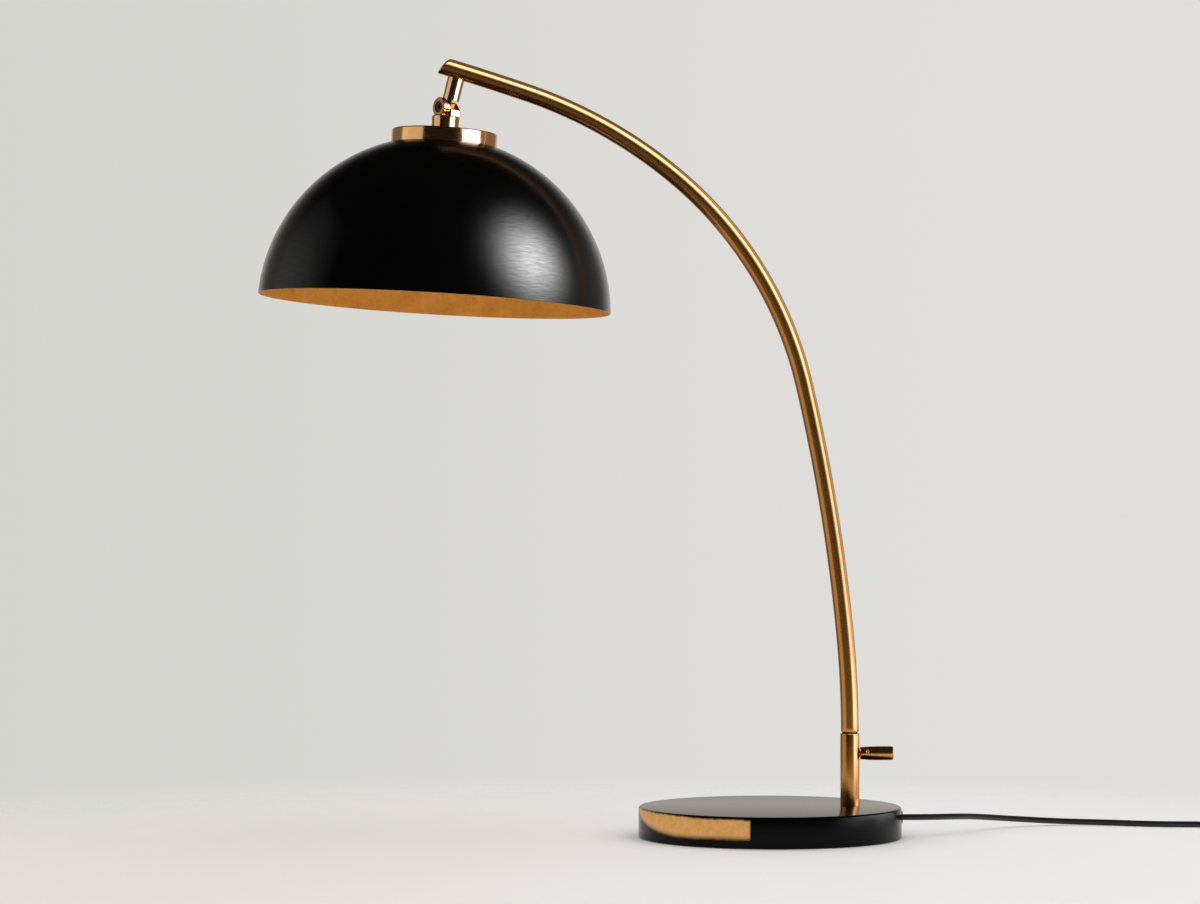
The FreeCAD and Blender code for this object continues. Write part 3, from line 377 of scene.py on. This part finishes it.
FINISHES = {
    "antique_brass": antique_brass("antique_brass", turned=False),
    "polished_brass": polished_brass("polished_brass"),
    "thread_brass": plain_metal("thread_brass", rgb(0.78, 0.60, 0.30), rgb(0.64, 0.46, 0.20), 0.28),
    "steel": plain_metal("steel", rgb(0.60, 0.60, 0.61), rgb(0.48, 0.48, 0.49), 0.32),
    # dark bronze screws: partly their own colour, partly painted shade, since the darkness stands in for the
    # shade in the tilt knuckle's recess
    "screw_steel": plain_metal("screw_steel", rgb(0.20, 0.13, 0.075), rgb(0.10, 0.065, 0.04), 0.30),
    "nickel": plain_metal("nickel", rgb(0.78, 0.76, 0.73), rgb(0.68, 0.66, 0.62), 0.18),
    "cast_iron": plain_metal("cast_iron", rgb(0.10, 0.10, 0.10), rgb(0.05, 0.05, 0.052), 0.62, metallic=0.7,
                             grain=260.0, bump=0.0004),
    "black_rubber": moulded("black_rubber", rgb(0.012, 0.012, 0.013), rgb(0.020, 0.020, 0.021), 0.55),
    "lead_sheath": moulded("lead_sheath", rgb(0.020, 0.020, 0.020), rgb(0.034, 0.033, 0.032), 0.5),
    "cord_sheath": moulded("cord_sheath", rgb(0.0075, 0.0075, 0.009), rgb(0.0125, 0.0125, 0.014), 0.42),
    # dark brown washers: partly their own colour, partly painted shade, since the darkness stands in for the
    # shadow in the knuckle's slot and the post's joint line
    "nylon": moulded("nylon", rgb(0.022, 0.016, 0.011), rgb(0.035, 0.026, 0.018), 0.5),
    "black_plastic": moulded("black_plastic", rgb(0.010, 0.010, 0.011), rgb(0.016, 0.016, 0.017), 0.34,
                             grain=2200.0),
    "bulb_black": moulded("bulb_black", rgb(0.012, 0.012, 0.014), rgb(0.018, 0.018, 0.020), 0.12),
    "felt": felt(),
    "ceramic": glazed_ceramic(),
    "opal_glass": opal_glass(),
    "black_satin": moulded("black_satin", rgb(0.005, 0.005, 0.005), rgb(0.009, 0.009, 0.009), 0.3),
}
TURNED_BRASS = antique_brass("turned_brass", turned=True)
SHADE_PAINT = shade_paint(DOME_MIDDLE)
BASE_PAINT = base_paint()


def coat(piece, material):
    piece.data.materials.clear()
    piece.data.materials.append(material)


def soften(mesh, angle=math.radians(32)):
    """Smooth shading with crisp edges where faces meet at more than the angle."""
    mesh.shade_smooth()
    mesh.set_sharp_from_angle(angle=angle)


for part in frame["record"]["subparts"]:
    node = nodes[part["node"]]
    coat(node, FINISHES[part["material_slot"]])
    soften(node.data)
coat(cord, FINISHES["cord_sheath"])


# ---------------------------------------------------------------- turned and swept pieces
def rounded_outline(corners, steps=6):
    """A closed outline of (radius, height) points from corners of (radius, height, rounding)."""
    outline = []
    for index, (x, z, rounding) in enumerate(corners):
        here = Vector((x, z))
        if not rounding:
            outline.append(here)
            continue
        back = (Vector(corners[index - 1][:2]) - here).normalized()
        ahead = (Vector(corners[(index + 1) % len(corners)][:2]) - here).normalized()
        half = back.angle(ahead) / 2
        centre = here + (back + ahead).normalized() * rounding / math.sin(half)
        start = here + back * rounding / math.tan(half) - centre
        end = here + ahead * rounding / math.tan(half) - centre
        first = math.atan2(start.y, start.x)
        turn = (math.atan2(end.y, end.x) - first + math.pi) % (2 * math.pi) - math.pi
        for step in range(steps + 1):
            angle = first + turn * step / steps
            outline.append(centre + rounding * Vector((math.cos(angle), math.sin(angle))))
    return outline


def mesh_piece(name, rings, turned_rings, closed):
    """A mesh through rings of points. A ring of one point is a pole. turned_rings are the same points in the
    piece's own axes, kept with the mesh for its finish."""
    mesh = bpy.data.meshes.new(name)
    form = bmesh.new()
    layer = form.verts.layers.float_vector.new("turned")
    made = []
    for ring, turned_ring in zip(rings, turned_rings):
        row = []
        for point, turned_point in zip(ring, turned_ring):
            vertex = form.verts.new(point)
            vertex[layer] = turned_point
            row.append(vertex)
        made.append(row)
    pairs = list(zip(made, made[1:])) + ([(made[-1], made[0])] if closed else [])
    for first, second in pairs:
        count = max(len(first), len(second))
        if count == 1:
            continue
        for step in range(count):
            corners = [first[step % len(first)], first[(step + 1) % len(first)],
                       second[(step + 1) % len(second)], second[step % len(second)]]
            form.faces.new(list(dict.fromkeys(corners)))
    bmesh.ops.recalc_face_normals(form, faces=form.faces)
    form.to_mesh(mesh)
    form.free()
    soften(mesh)
    piece = bpy.data.objects.new(name, mesh)
    scene.collection.objects.link(piece)
    return piece


def lathe(name, outline, place=Matrix(), steps=144):
    """A closed outline turned round the Z axis of a place."""
    rings = []
    for radius, height in outline:
        if radius < 1e-7:
            rings.append([Vector((0, 0, height))])
            continue
        angles = [2 * math.pi * step / steps for step in range(steps)]
        rings.append([Vector((radius * math.cos(a), radius * math.sin(a), height)) for a in angles])
    return mesh_piece(name, [[place @ point for point in ring] for ring in rings], rings, closed=True)


def cut_hole(piece, place, radius, start, length, steps=64):
    """Cuts a round hole along X into a turned piece, and writes the places in the piece's own axes again."""
    form = bmesh.new()
    middle = (Matrix.Translation(Vector(start) + Vector((length / 2, 0, 0)))
              @ Matrix.Rotation(math.pi / 2, 4, "Y"))
    bmesh.ops.create_cone(form, cap_ends=True, segments=steps, radius1=radius, radius2=radius, depth=length,
                          matrix=middle)
    cutter_mesh = bpy.data.meshes.new("hole")
    form.to_mesh(cutter_mesh)
    form.free()
    cutter = bpy.data.objects.new("hole", cutter_mesh)
    scene.collection.objects.link(cutter)
    hole = piece.modifiers.new("hole", "BOOLEAN")
    hole.object = cutter
    hole.solver = "EXACT"
    bpy.context.view_layer.update()
    bored = bpy.data.meshes.new_from_object(piece.evaluated_get(bpy.context.evaluated_depsgraph_get()))
    piece.modifiers.clear()
    piece.data = bored
    bpy.data.objects.remove(cutter)
    bpy.data.meshes.remove(cutter_mesh)
    for vertex, own in zip(bored.vertices, bored.attributes["turned"].data):
        own.vector = place.inverted() @ vertex.co
    soften(bored)


def stand_for(piece, body, slot, material, *cad_nodes):
    """A made piece takes the place of CAD nodes and rides on their body."""
    coat(piece, material)
    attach(piece, body)
    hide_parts(*cad_nodes)
    return piece


# base cover: a pressed pan with a rounded upper edge
BASE_SHEET = 0.0016
COVER_FOOT = 0.0007
base_outline = rounded_outline([(0, BASE_TOP, 0), (BASE_R, BASE_TOP, 0.0018), (BASE_R, COVER_FOOT, 0.0004),
                                (BASE_R - BASE_SHEET, COVER_FOOT, 0),
                                (BASE_R - BASE_SHEET, BASE_TOP - BASE_SHEET, 0),
                                (0, BASE_TOP - BASE_SHEET, 0)])
base = stand_for(lathe("base_shell", base_outline, steps=256), "base", "black_satin", BASE_PAINT,
                 "base_cover")

# post round the arm's spindle
STEM_X = 0.061
POST_R = 0.0073
POST_BORE = 0.00505
POST_TOP = 0.0787
post_outline = rounded_outline([(POST_R, BASE_TOP, 0.00015), (POST_R, POST_TOP, 0.0005),
                                (POST_BORE, POST_TOP, 0.0002), (POST_BORE, BASE_TOP, 0)])
CLAMP_HOLE_R = 0.00255          # for the thumb screw, which lies along X
CLAMP_Z = 0.0636
CLAMP_HOLE_REACH = 0.020        # from the post's axis, out past its wall
stem_axis = Matrix.Translation((STEM_X, 0, 0))
post = lathe("post", post_outline, stem_axis, steps=96)
cut_hole(post, stem_axis, CLAMP_HOLE_R, (STEM_X, 0, CLAMP_Z), CLAMP_HOLE_REACH)
stand_for(post, "base", "antique_brass", TURNED_BRASS, "stem_post")

# spun dome
RIM_ABOVE_MIDDLE = 0.0069
CROWN_FLAT_R = 0.014
THREAD_R = 0.005


def dome_outline(steps=72):
    """Outer wall from rim to crown, the flat with its hole, and the inner wall back to the rim."""
    inner_r = DOME_R - DOME_SHEET
    crown = DOME_MIDDLE + math.sqrt(DOME_R ** 2 - CROWN_FLAT_R ** 2)

    def wall(radius, rim_height, top):
        first = math.asin(rim_height / radius)
        last = math.asin((top - DOME_MIDDLE) / radius)
        for step in range(steps + 1):
            angle = first + (last - first) * step / steps
            yield Vector((radius * math.cos(angle), DOME_MIDDLE + radius * math.sin(angle)))

    lip = 0.0002
    outer = list(wall(DOME_R, RIM_ABOVE_MIDDLE + lip, crown))
    inner = list(wall(inner_r, RIM_ABOVE_MIDDLE + lip, crown - DOME_SHEET))
    rim_z = DOME_MIDDLE + RIM_ABOVE_MIDDLE
    hole = [Vector((THREAD_R, crown)), Vector((THREAD_R, crown - DOME_SHEET))]
    rim = [Vector((inner[0].x + lip, rim_z)), Vector((outer[0].x - lip, rim_z))]
    return outer + hole + inner[::-1] + rim


dome = stand_for(lathe("dome", dome_outline(), HEAD, steps=288), "shade", "black_satin", SHADE_PAINT,
                 "shade_dome")

# brass cap with a skirt that sits on the dome
CAP_R = 0.04065
CAP_TOP = -0.0186
CAP_SHEET = 0.002


def on_dome(radius):
    return DOME_MIDDLE + math.sqrt(DOME_R ** 2 - radius ** 2)


cap_outline = rounded_outline([(THREAD_R, CAP_TOP, 0), (CAP_R, CAP_TOP, 0.0012), (CAP_R, on_dome(CAP_R), 0),
                               (CAP_R - CAP_SHEET, on_dome(CAP_R - CAP_SHEET), 0),
                               (CAP_R - CAP_SHEET, CAP_TOP - CAP_SHEET, 0.0008),
                               (THREAD_R, CAP_TOP - CAP_SHEET, 0)])
stand_for(lathe("cap", cap_outline, HEAD, steps=192), "shade", "polished_brass", FINISHES["polished_brass"],
          "shade_cap")

# arched arm tube and its slanted end
ARM_R = 0.0068
ARM_BORE_R = 0.0056
ARM_FOOT = 0.0796
ARM_ARCS = [(0.781, 5.2), (1.441, 7.8), (0.295, 36.6), (0.356, 21.4), (1.674, 3.0)]     # radius, degrees
ARM_END = Vector((-0.2493, 0.0, 0.5886))
END_SLANT = math.radians(38.5)
END_NORMAL = Vector((-math.cos(END_SLANT), 0, math.sin(END_SLANT)))
END_CAP = 0.003
END_EDGE = (0.0008, 0.0018)     # rounding of the slanted end's lower edge, and how much more at its top


def arm_stations(step_length=0.004):
    """Places along the arm's centreline, each with its heading and the length to it."""
    point = Vector((STEM_X, 0, ARM_FOOT))
    heading = math.pi / 2
    along = 0.0
    stations = [(point, heading, along)]
    for radius, degrees in ARM_ARCS:
        sweep = math.radians(degrees)
        centre = point + Vector((-math.sin(heading), 0, math.cos(heading))) * radius
        steps = max(2, round(radius * sweep / step_length))
        for step in range(1, steps + 1):
            turned = heading + sweep * step / steps
            place = centre + Vector((math.sin(turned), 0, -math.cos(turned))) * radius
            stations.append((place, turned, along + radius * sweep * step / steps))
        point = stations[-1][0]
        heading += sweep
        along += radius * sweep
    return stations


def station_ring(station, radius, steps):
    """Points round the arm at a station: first the side away from the arch's middle."""
    place, heading, along = station
    outwards = Vector((math.sin(heading), 0, -math.cos(heading)))
    ring, turned = [], []
    for step in range(steps):
        angle = 2 * math.pi * step / steps
        ring.append(place + outwards * (radius * math.cos(angle)) + Vector((0, radius * math.sin(angle), 0)))
        turned.append(Vector((radius * math.cos(angle), radius * math.sin(angle), along)))
    return ring, turned


def to_slant(ring, turned, heading, depth):
    """Moves a ring's points along the arm to a plane at a depth behind the slanted end."""
    ahead = Vector((math.cos(heading), 0, math.sin(heading)))
    plane = ARM_END - END_NORMAL * depth
    moved = [(plane - point).dot(END_NORMAL) / ahead.dot(END_NORMAL) for point in ring]
    return ([point + ahead * reach for point, reach in zip(ring, moved)],
            [point + Vector((0, 0, reach)) for point, reach in zip(turned, moved)])


ARM_STEPS = 64
STATIONS = arm_stations()
BEFORE_END = 0.016              # the stations stop here before the slanted end
BODY_STATIONS = STATIONS[:next(i for i, s in enumerate(STATIONS) if (s[0] - ARM_END).length < BEFORE_END)]
FOOT_ROUND = 0.0008


def foot_rings(steps=5):
    """The tube's rounded lower edge."""
    place, heading, along = BODY_STATIONS[0]
    for step in range(steps):
        bend = math.pi / 2 * step / (steps - 1)
        rise = FOOT_ROUND * (1 - math.cos(bend))
        station = (place + Vector((0, 0, rise)), heading, along + rise)
        yield station_ring(station, ARM_R - FOOT_ROUND * (1 - math.sin(bend)), ARM_STEPS)


def arm_tube():
    outer = list(foot_rings()) + [station_ring(s, ARM_R, ARM_STEPS) for s in BODY_STATIONS[1:]]
    inner = [station_ring(s, ARM_BORE_R, ARM_STEPS) for s in BODY_STATIONS]
    heading = BODY_STATIONS[-1][1]
    rows = (outer + [to_slant(*outer[-1], heading, END_CAP)]
            + [to_slant(*inner[-1], heading, END_CAP)] + inner[::-1])
    return mesh_piece("arched_tube", [row[0] for row in rows], [row[1] for row in rows], closed=True)


def arm_end(edge_steps=8):
    """Closed end: the wall goes on to the slant, with an edge that is rounder at the top."""
    last = BODY_STATIONS[-1]
    heading = last[1]
    outline, turned = station_ring(last, ARM_R, ARM_STEPS)
    middle, middle_turned = station_ring(last, 0.0, 1)
    rows = [to_slant(middle, middle_turned, heading, END_CAP), to_slant(outline, turned, heading, END_CAP)]
    for step in range(edge_steps + 1):
        bend = math.pi / 2 * step / edge_steps
        ring, ring_turned = [], []
        for index in range(ARM_STEPS):
            upper = 0.5 + 0.5 * math.cos(2 * math.pi * index / ARM_STEPS)
            rounding = END_EDGE[0] + END_EDGE[1] * upper
            inset = rounding * (1 - math.cos(bend))
            depth = rounding * (1 - math.sin(bend))
            angle = 2 * math.pi * index / ARM_STEPS
            radius = ARM_R - inset
            outwards = Vector((math.sin(heading), 0, -math.cos(heading)))
            point = last[0] + outwards * (radius * math.cos(angle)) + Vector((0, radius * math.sin(angle), 0))
            own = Vector((radius * math.cos(angle), radius * math.sin(angle), last[2]))
            placed, placed_own = to_slant([point], [own], heading, depth)
            ring += placed
            ring_turned += placed_own
        rows.append((ring, ring_turned))
    rows.append(to_slant(middle, middle_turned, heading, 0.0))
    return mesh_piece("arm_end", [row[0] for row in rows], [row[1] for row in rows], closed=False)


stand_for(arm_tube(), "arm", "antique_brass", TURNED_BRASS, "arm_tube")
stand_for(arm_end(), "arm", "antique_brass", TURNED_BRASS, "arm_end_cap")


# ---------------------------------------------------------------- stage, world and lights
FLOOR_R = 1.9
FADE_CENTRE = (-0.05, -0.55, 0.0)
FADE = (0.60, 1.20)             # the floor fades into the backdrop between these distances
FRONT_EDGE = (-0.53, -0.46)     # and it ends in front, like a table
PAINTED_GLOW_SIDE = (-0.45, 0.10)       # between these X the painted warm glow of bounced light at the left fades to a neutral floor


def floor_material():
    """Pale, and clear from below, so that the underside of the object can be seen. Towards -X it is warmer
    and a little darker: a painted warm glow of bounced light.
    """
    finish = Finish("floor", Specular_IOR_Level=0.25)
    place = finish.object_place()
    split = finish.node("SeparateXYZ", {0: place}).outputs
    rightwards = finish.map(split["X"], *PAINTED_GLOW_SIDE, smooth=True)
    fine = finish.noise(place, 30.0, detail=2.0)
    # warm and a little darker at the left: painted glow of bounced light; neutral at the right
    colour = finish.mix(rightwards, rgb(0.828, 0.779, 0.744), rgb(0.856, 0.854, 0.852))
    finish.set(Base_Color=colour, Roughness=finish.map(fine, 0.3, 0.7, 0.55, 0.62))
    away = finish.node("VectorMath", {0: place, 1: FADE_CENTRE}, operation="DISTANCE").outputs["Value"]
    seen = finish.map(away, FADE[1], FADE[0], smooth=True)
    above = finish.math("SUBTRACT", 1.0, finish.node("NewGeometry").outputs["Backfacing"])
    table = finish.map(split["Y"], *FRONT_EDGE, smooth=True)
    shown = finish.math("MULTIPLY", finish.math("MULTIPLY", seen, above), table)
    clear = finish.node("BsdfTransparent").outputs[0]
    blend = finish.node("MixShader", {0: shown, 1: clear, 2: finish.shader.outputs[0]})
    finish.tree.links.new(blend.outputs[0], finish.tree.nodes["Material Output"].inputs["Surface"])
    return finish.material


def floor_disc():
    form = bmesh.new()
    bmesh.ops.create_circle(form, cap_ends=True, segments=128, radius=FLOOR_R)
    mesh = bpy.data.meshes.new("floor")
    form.to_mesh(mesh)
    form.free()
    disc = bpy.data.objects.new("floor", mesh)
    scene.collection.objects.link(disc)
    coat(disc, floor_material())
    return disc


floor_disc()

BACKDROP = (rgb(0.655, 0.655, 0.621), rgb(0.737, 0.730, 0.701))     # its left and its right
AMBIENT = 1.0


def make_world():
    """Pale backdrop for the camera. In reflections it is bright straight behind the object and dimmer at the
    sides, and the room in front and above is dark, with a dim floor."""
    world = bpy.data.worlds.new("studio")
    world.use_nodes = True
    tree = world.node_tree
    tree.nodes.clear()

    def node(kind, inputs=(), **settings):
        made = tree.nodes.new("ShaderNode" + kind)
        for name, value in settings.items():
            setattr(made, name, value)
        for name, value in dict(inputs).items():
            if isinstance(value, bpy.types.NodeSocket):
                tree.links.new(value, made.inputs[name])
            else:
                made.inputs[name].default_value = value
        return made

    def ramp(value, low, high, to_low, to_high):
        inputs = {"Value": value, "From Min": low, "From Max": high, "To Min": to_low, "To Max": to_high}
        return node("MapRange", inputs, interpolation_type="SMOOTHSTEP").outputs[0]

    way = node("SeparateXYZ", {0: node("TexCoord").outputs["Generated"]}).outputs
    sides = ramp(way["Y"], -0.40, 0.25, 0.002, 0.30)
    behind = ramp(way["Y"], 0.78, 0.97, 0.0, 0.72)
    low = ramp(way["Z"], 0.18, 0.60, 1.0, 0.02)
    room_floor = ramp(way["Z"], 0.03, -0.06, 0.0, 0.20)
    room = node("Math", {0: sides, 1: behind}, operation="ADD").outputs[0]
    room = node("Math", {0: room, 1: low}, operation="MULTIPLY").outputs[0]
    room = node("Math", {0: room, 1: room_floor}, operation="MAXIMUM").outputs[0]
    rightwards = ramp(way["X"], -0.24, 0.14, 0.0, 1.0)
    pale = node("Mix", {0: rightwards, 6: BACKDROP[0], 7: BACKDROP[1]}, data_type="RGBA").outputs[2]
    rays = node("LightPath").outputs
    ambient = node("Background", {"Color": rgb(1.0, 0.997, 0.990), "Strength": AMBIENT}).outputs[0]
    warmed = node("Mix", {0: 1.0, 6: pale, 7: rgb(1.0, 0.945, 0.900)}, data_type="RGBA",
                  blend_type="MULTIPLY")
    reflected = node("Background", {"Color": warmed.outputs[2], "Strength": room}).outputs[0]
    seen = node("Background", {"Color": pale, "Strength": 1.0}).outputs[0]
    shiny = node("Math", {0: rays["Is Glossy Ray"], 1: rays["Is Transmission Ray"]},
                 operation="MAXIMUM").outputs[0]
    mixed = node("MixShader", {0: shiny, 1: ambient, 2: reflected}).outputs[0]
    mixed = node("MixShader", {0: rays["Is Camera Ray"], 1: mixed, 2: seen}).outputs[0]
    node("OutputWorld", {"Surface": mixed})
    scene.world = world


make_world()


def softbox(name, place, aim, size, radiance, tint=(1.0, 1.0, 1.0), diffuse=True, glossy=True, only=None):
    """A rectangular lamp of a given size and brightness that faces a point. only: the pieces it lights."""
    light = bpy.data.lights.new(name, "AREA")
    light.shape = "RECTANGLE"
    light.size, light.size_y = size
    light.energy = radiance * math.pi * size[0] * size[1]
    light.color = tint
    lamp = bpy.data.objects.new(name, light)
    lamp.location = place
    lamp.rotation_euler = (Vector(aim) - Vector(place)).to_track_quat("-Z", "Y").to_euler()
    lamp.visible_camera = False
    lamp.visible_diffuse = diffuse
    lamp.visible_glossy = glossy
    scene.collection.objects.link(lamp)
    if only:
        lit = bpy.data.collections.new(name + "_lights")
        for piece in only:
            lit.objects.link(piece)
        lamp.light_linking.receiver_collection = lit
    return lamp


def from_angle(target, right, up, distance):
    """A place seen from the target at an angle right of the camera's side and up."""
    right, up = math.radians(right), math.radians(up)
    way = Vector((math.sin(right) * math.cos(up), -math.cos(right) * math.cos(up), math.sin(up)))
    return Vector(target) + way * distance


def fading_edges(lamp, spread):
    """Makes a softbox brightest in its middle, fading to nothing at its edges."""
    light = lamp.data
    light.use_nodes = True
    tree = light.node_tree
    across = tree.nodes.new("ShaderNodeNewGeometry").outputs["Parametric"]
    away = tree.nodes.new("ShaderNodeVectorMath")
    away.operation = "DISTANCE"
    away.inputs[1].default_value = (0.5, 0.5, 0.0)
    tree.links.new(across, away.inputs[0])
    squared = tree.nodes.new("ShaderNodeMath")
    squared.operation = "POWER"
    squared.inputs[1].default_value = 2.0
    tree.links.new(away.outputs["Value"], squared.inputs[0])
    power = tree.nodes.new("ShaderNodeMath")
    power.operation = "MULTIPLY"
    power.inputs[1].default_value = -0.5 / spread ** 2
    tree.links.new(squared.outputs[0], power.inputs[0])
    bell = tree.nodes.new("ShaderNodeMath")
    bell.operation = "EXPONENT"
    tree.links.new(power.outputs[0], bell.inputs[0])
    tree.links.new(bell.outputs[0], tree.nodes["Emission"].inputs["Strength"])


def pieces_in(word):
    """The mesh pieces whose finish has a word in its name."""
    return [piece for piece in bpy.data.objects
            if piece.type == "MESH" and piece.data.materials and word in piece.data.materials[0].name]


HEAD_AIM = (-0.20, 0.0, 0.45)
DOME_AIM = (-0.19, -0.10, 0.44)
POST_AIM = (0.05, 0.0, 0.15)
BASE_AIM = (0.07, -0.07, 0.01)
COOL = (1.0, 1.18, 2.0)         # tints of most of the lamps on brass
PALE = (1.0, 1.10, 1.45)
satin = pieces_in("antique_brass") + pieces_in("turned_brass")
polished = pieces_in("polished_brass")
satin_but_screw = [piece for piece in satin if piece != nodes["clamp_knob"]]
softbox("key_light", from_angle(HEAD_AIM, 70, 30, 1.6), HEAD_AIM, (1.1, 1.1), 0.55, glossy=False)
softbox("top_light", (0.0, -0.1, 1.7), (0.0, 0.0, 0.0), (1.4, 1.2), 0.25, glossy=False)

# Soft lamps that show only as reflections, each on the pieces it is linked to. Most of those on brass are
# tinted, to give the pale highlights that its own colour under white light does not.
dome_shine = softbox("dome_shine", from_angle(DOME_AIM, 74, 26, 1.25), DOME_AIM, (1.7, 1.7), 25.0,
                     diffuse=False, only=[dome])
fading_edges(dome_shine, 0.168)
dome_left = softbox("dome_left", from_angle(DOME_AIM, -100, 12, 1.4), DOME_AIM, (1.3, 1.6), 0.34,
                    diffuse=False, only=[dome])
fading_edges(dome_left, 0.30)
base_side = softbox("base_side", from_angle(BASE_AIM, 95, 6, 1.2), BASE_AIM, (2.0, 1.1), 6.5,
                    diffuse=False, only=[base])
fading_edges(base_side, 0.24)

# an arc of lamps gives the long highlight on the arm: place, the point it faces, radiance
SHINE_ARC = [((1.10, -0.60, 0.00), (0.06, 0, 0.08), 1.8), ((1.09, -0.59, 0.40), (0.05, 0, 0.25), 2.2),
             ((0.99, -0.59, 0.78), (0.03, 0, 0.36), 3.0), ((0.77, -0.61, 1.11), (0.0, 0, 0.45), 3.6),
             ((0.45, -0.65, 1.36), (-0.07, 0, 0.50), 3.6), ((0.10, -0.73, 1.48), (-0.15, 0, 0.55), 3.4),
             ((-0.25, -0.80, 1.52), (-0.22, 0, 0.58), 3.0)]
LOW_LAMPS = 2                   # only this many of them, the lowest, light the thumb screw too
for number, (place, aim, radiance) in enumerate(SHINE_ARC):
    lamp = softbox("arm_shine_%d" % number, place, aim, (1.4, 1.4), radiance, tint=COOL, diffuse=False,
                   only=satin if number < LOW_LAMPS else satin_but_screw)
    fading_edges(lamp, 0.165)

FOOT_AIM = (0.061, 0.0, 0.05)
foot_shine = softbox("foot_shine", from_angle(FOOT_AIM, 80, 3, 0.40), FOOT_AIM, (0.60, 0.40), 2.0, tint=COOL,
                     diffuse=False, only=satin)
fading_edges(foot_shine, 0.22)
softbox("satin_left", from_angle(POST_AIM, -76, 14, 1.5), POST_AIM, (1.4, 1.5), 0.48, diffuse=False,
        only=satin)
softbox("satin_right", from_angle(POST_AIM, 114, 26, 1.5), POST_AIM, (1.0, 2.0), 0.62, tint=PALE,
        diffuse=False, only=satin)
softbox("satin_above", from_angle(HEAD_AIM, 140, 62, 1.5), HEAD_AIM, (1.8, 1.4), 0.18, diffuse=False,
        only=satin_but_screw)
softbox("polished_left", from_angle(HEAD_AIM, -73, 8, 1.5), HEAD_AIM, (1.50, 1.5), 0.75, diffuse=False,
        only=polished)
softbox("polished_key", from_angle(HEAD_AIM, 63, 12, 1.3), HEAD_AIM, (1.02, 1.0), 4.0, tint=COOL,
        diffuse=False, only=polished)
